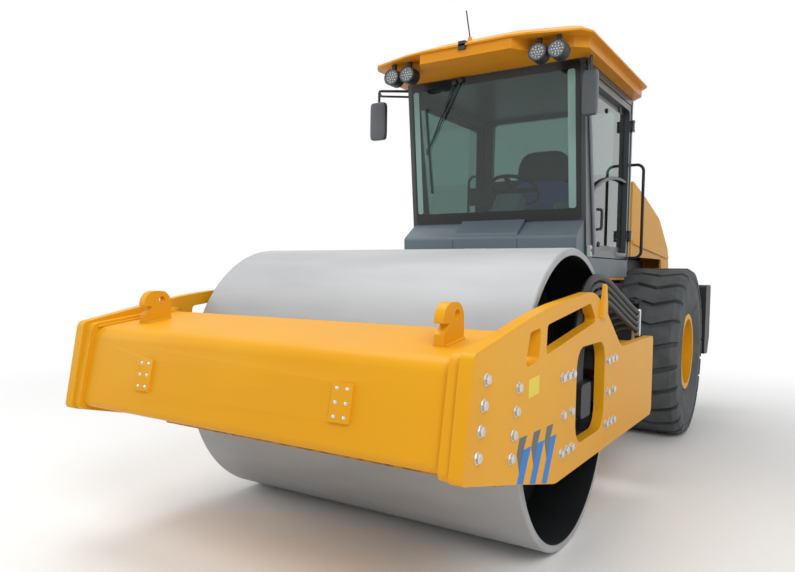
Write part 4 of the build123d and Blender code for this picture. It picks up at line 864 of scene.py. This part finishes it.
amount = add(floor_tree, "ShaderNodeMath", {0: fade, 1: seen_rays(floor_tree)},
             operation="MULTIPLY").outputs[0]
white = add(floor_tree, "ShaderNodeEmission", {"Color": (1, 1, 1, 1), "Strength": 1.0}).outputs[0]
blend = add(floor_tree, "ShaderNodeMixShader", {0: amount, 1: base.outputs[0], 2: white})
floor_tree.links.new(blend.outputs[0], floor_tree.nodes["Material Output"].inputs["Surface"])
floor_mesh.materials.append(floor_coat)

world = bpy.data.worlds.new("studio")
bpy.context.scene.world = world
world.use_nodes = True
world_tree = world.node_tree
sky = world_tree.nodes["Background"]
SURROUND = 0.5
strength = add(world_tree, "ShaderNodeMapRange",
               {"Value": seen_rays(world_tree), "To Min": SURROUND, "To Max": 1.0}).outputs["Result"]
sky.inputs["Color"].default_value = (1, 1, 1, 1)
world_tree.links.new(strength, sky.inputs["Strength"])

LAMPS = [  # name, place, aim, size in metres, watts
    ("key", (5.5, -7.5, 7.0), (0, -0.5, 1.2), 4.5, 400),
    ("top", (-1.5, -1.0, 8.5), (0, 0, 1.0), 6.0, 330),
    ("fill", (-7.5, -5.0, 3.5), (0, 0, 1.2), 5.0, 150)]
for name, spot, aim, size, watts in LAMPS:
    light = bpy.data.lights.new(name, "AREA")
    light.shape = "DISK"
    light.size = size
    light.energy = watts
    lamp = bpy.data.objects.new(name, light)
    bpy.context.scene.collection.objects.link(lamp)
    toward = np.array(aim) - np.array(spot)
    lamp.location = spot
    lamp.rotation_euler = (np.arccos(-toward[2] / np.linalg.norm(toward)), 0,
                           np.arctan2(toward[1], toward[0]) - np.pi / 2)
print("lamps", len(LAMPS))

# %% [markdown]
# ## Camera
# A mild wide-angle lens at eye height, ahead of the drum's left end. A shift of the lens
# frames the machine without turning the camera.

# %% Camera
YAW, PITCH, ROLL = np.radians((36.20, 2.77, 0.59))
forward = Vector((-np.sin(YAW) * np.cos(PITCH), np.cos(YAW) * np.cos(PITCH), -np.sin(PITCH)))
right = Vector((np.cos(YAW), np.sin(YAW), 0))
upward = right.cross(forward)
side_axis = right * np.cos(ROLL) + upward * np.sin(ROLL)
up_axis = upward * np.cos(ROLL) - right * np.sin(ROLL)
optics = bpy.data.cameras.new("camera")
optics.lens = 32.0
optics.shift_x, optics.shift_y = 0.110, 0.0228
camera = bpy.data.objects.new("camera", optics)
bpy.context.scene.collection.objects.link(camera)
facing = Matrix((side_axis, up_axis, -forward)).transposed().to_4x4()
camera.matrix_world = Matrix.Translation((2.238, -5.718, 1.561)) @ facing
bpy.context.scene.camera = camera
bpy.context.scene.view_settings.view_transform = "Standard"
print("camera at", tuple(round(v, 3) for v in camera.location))
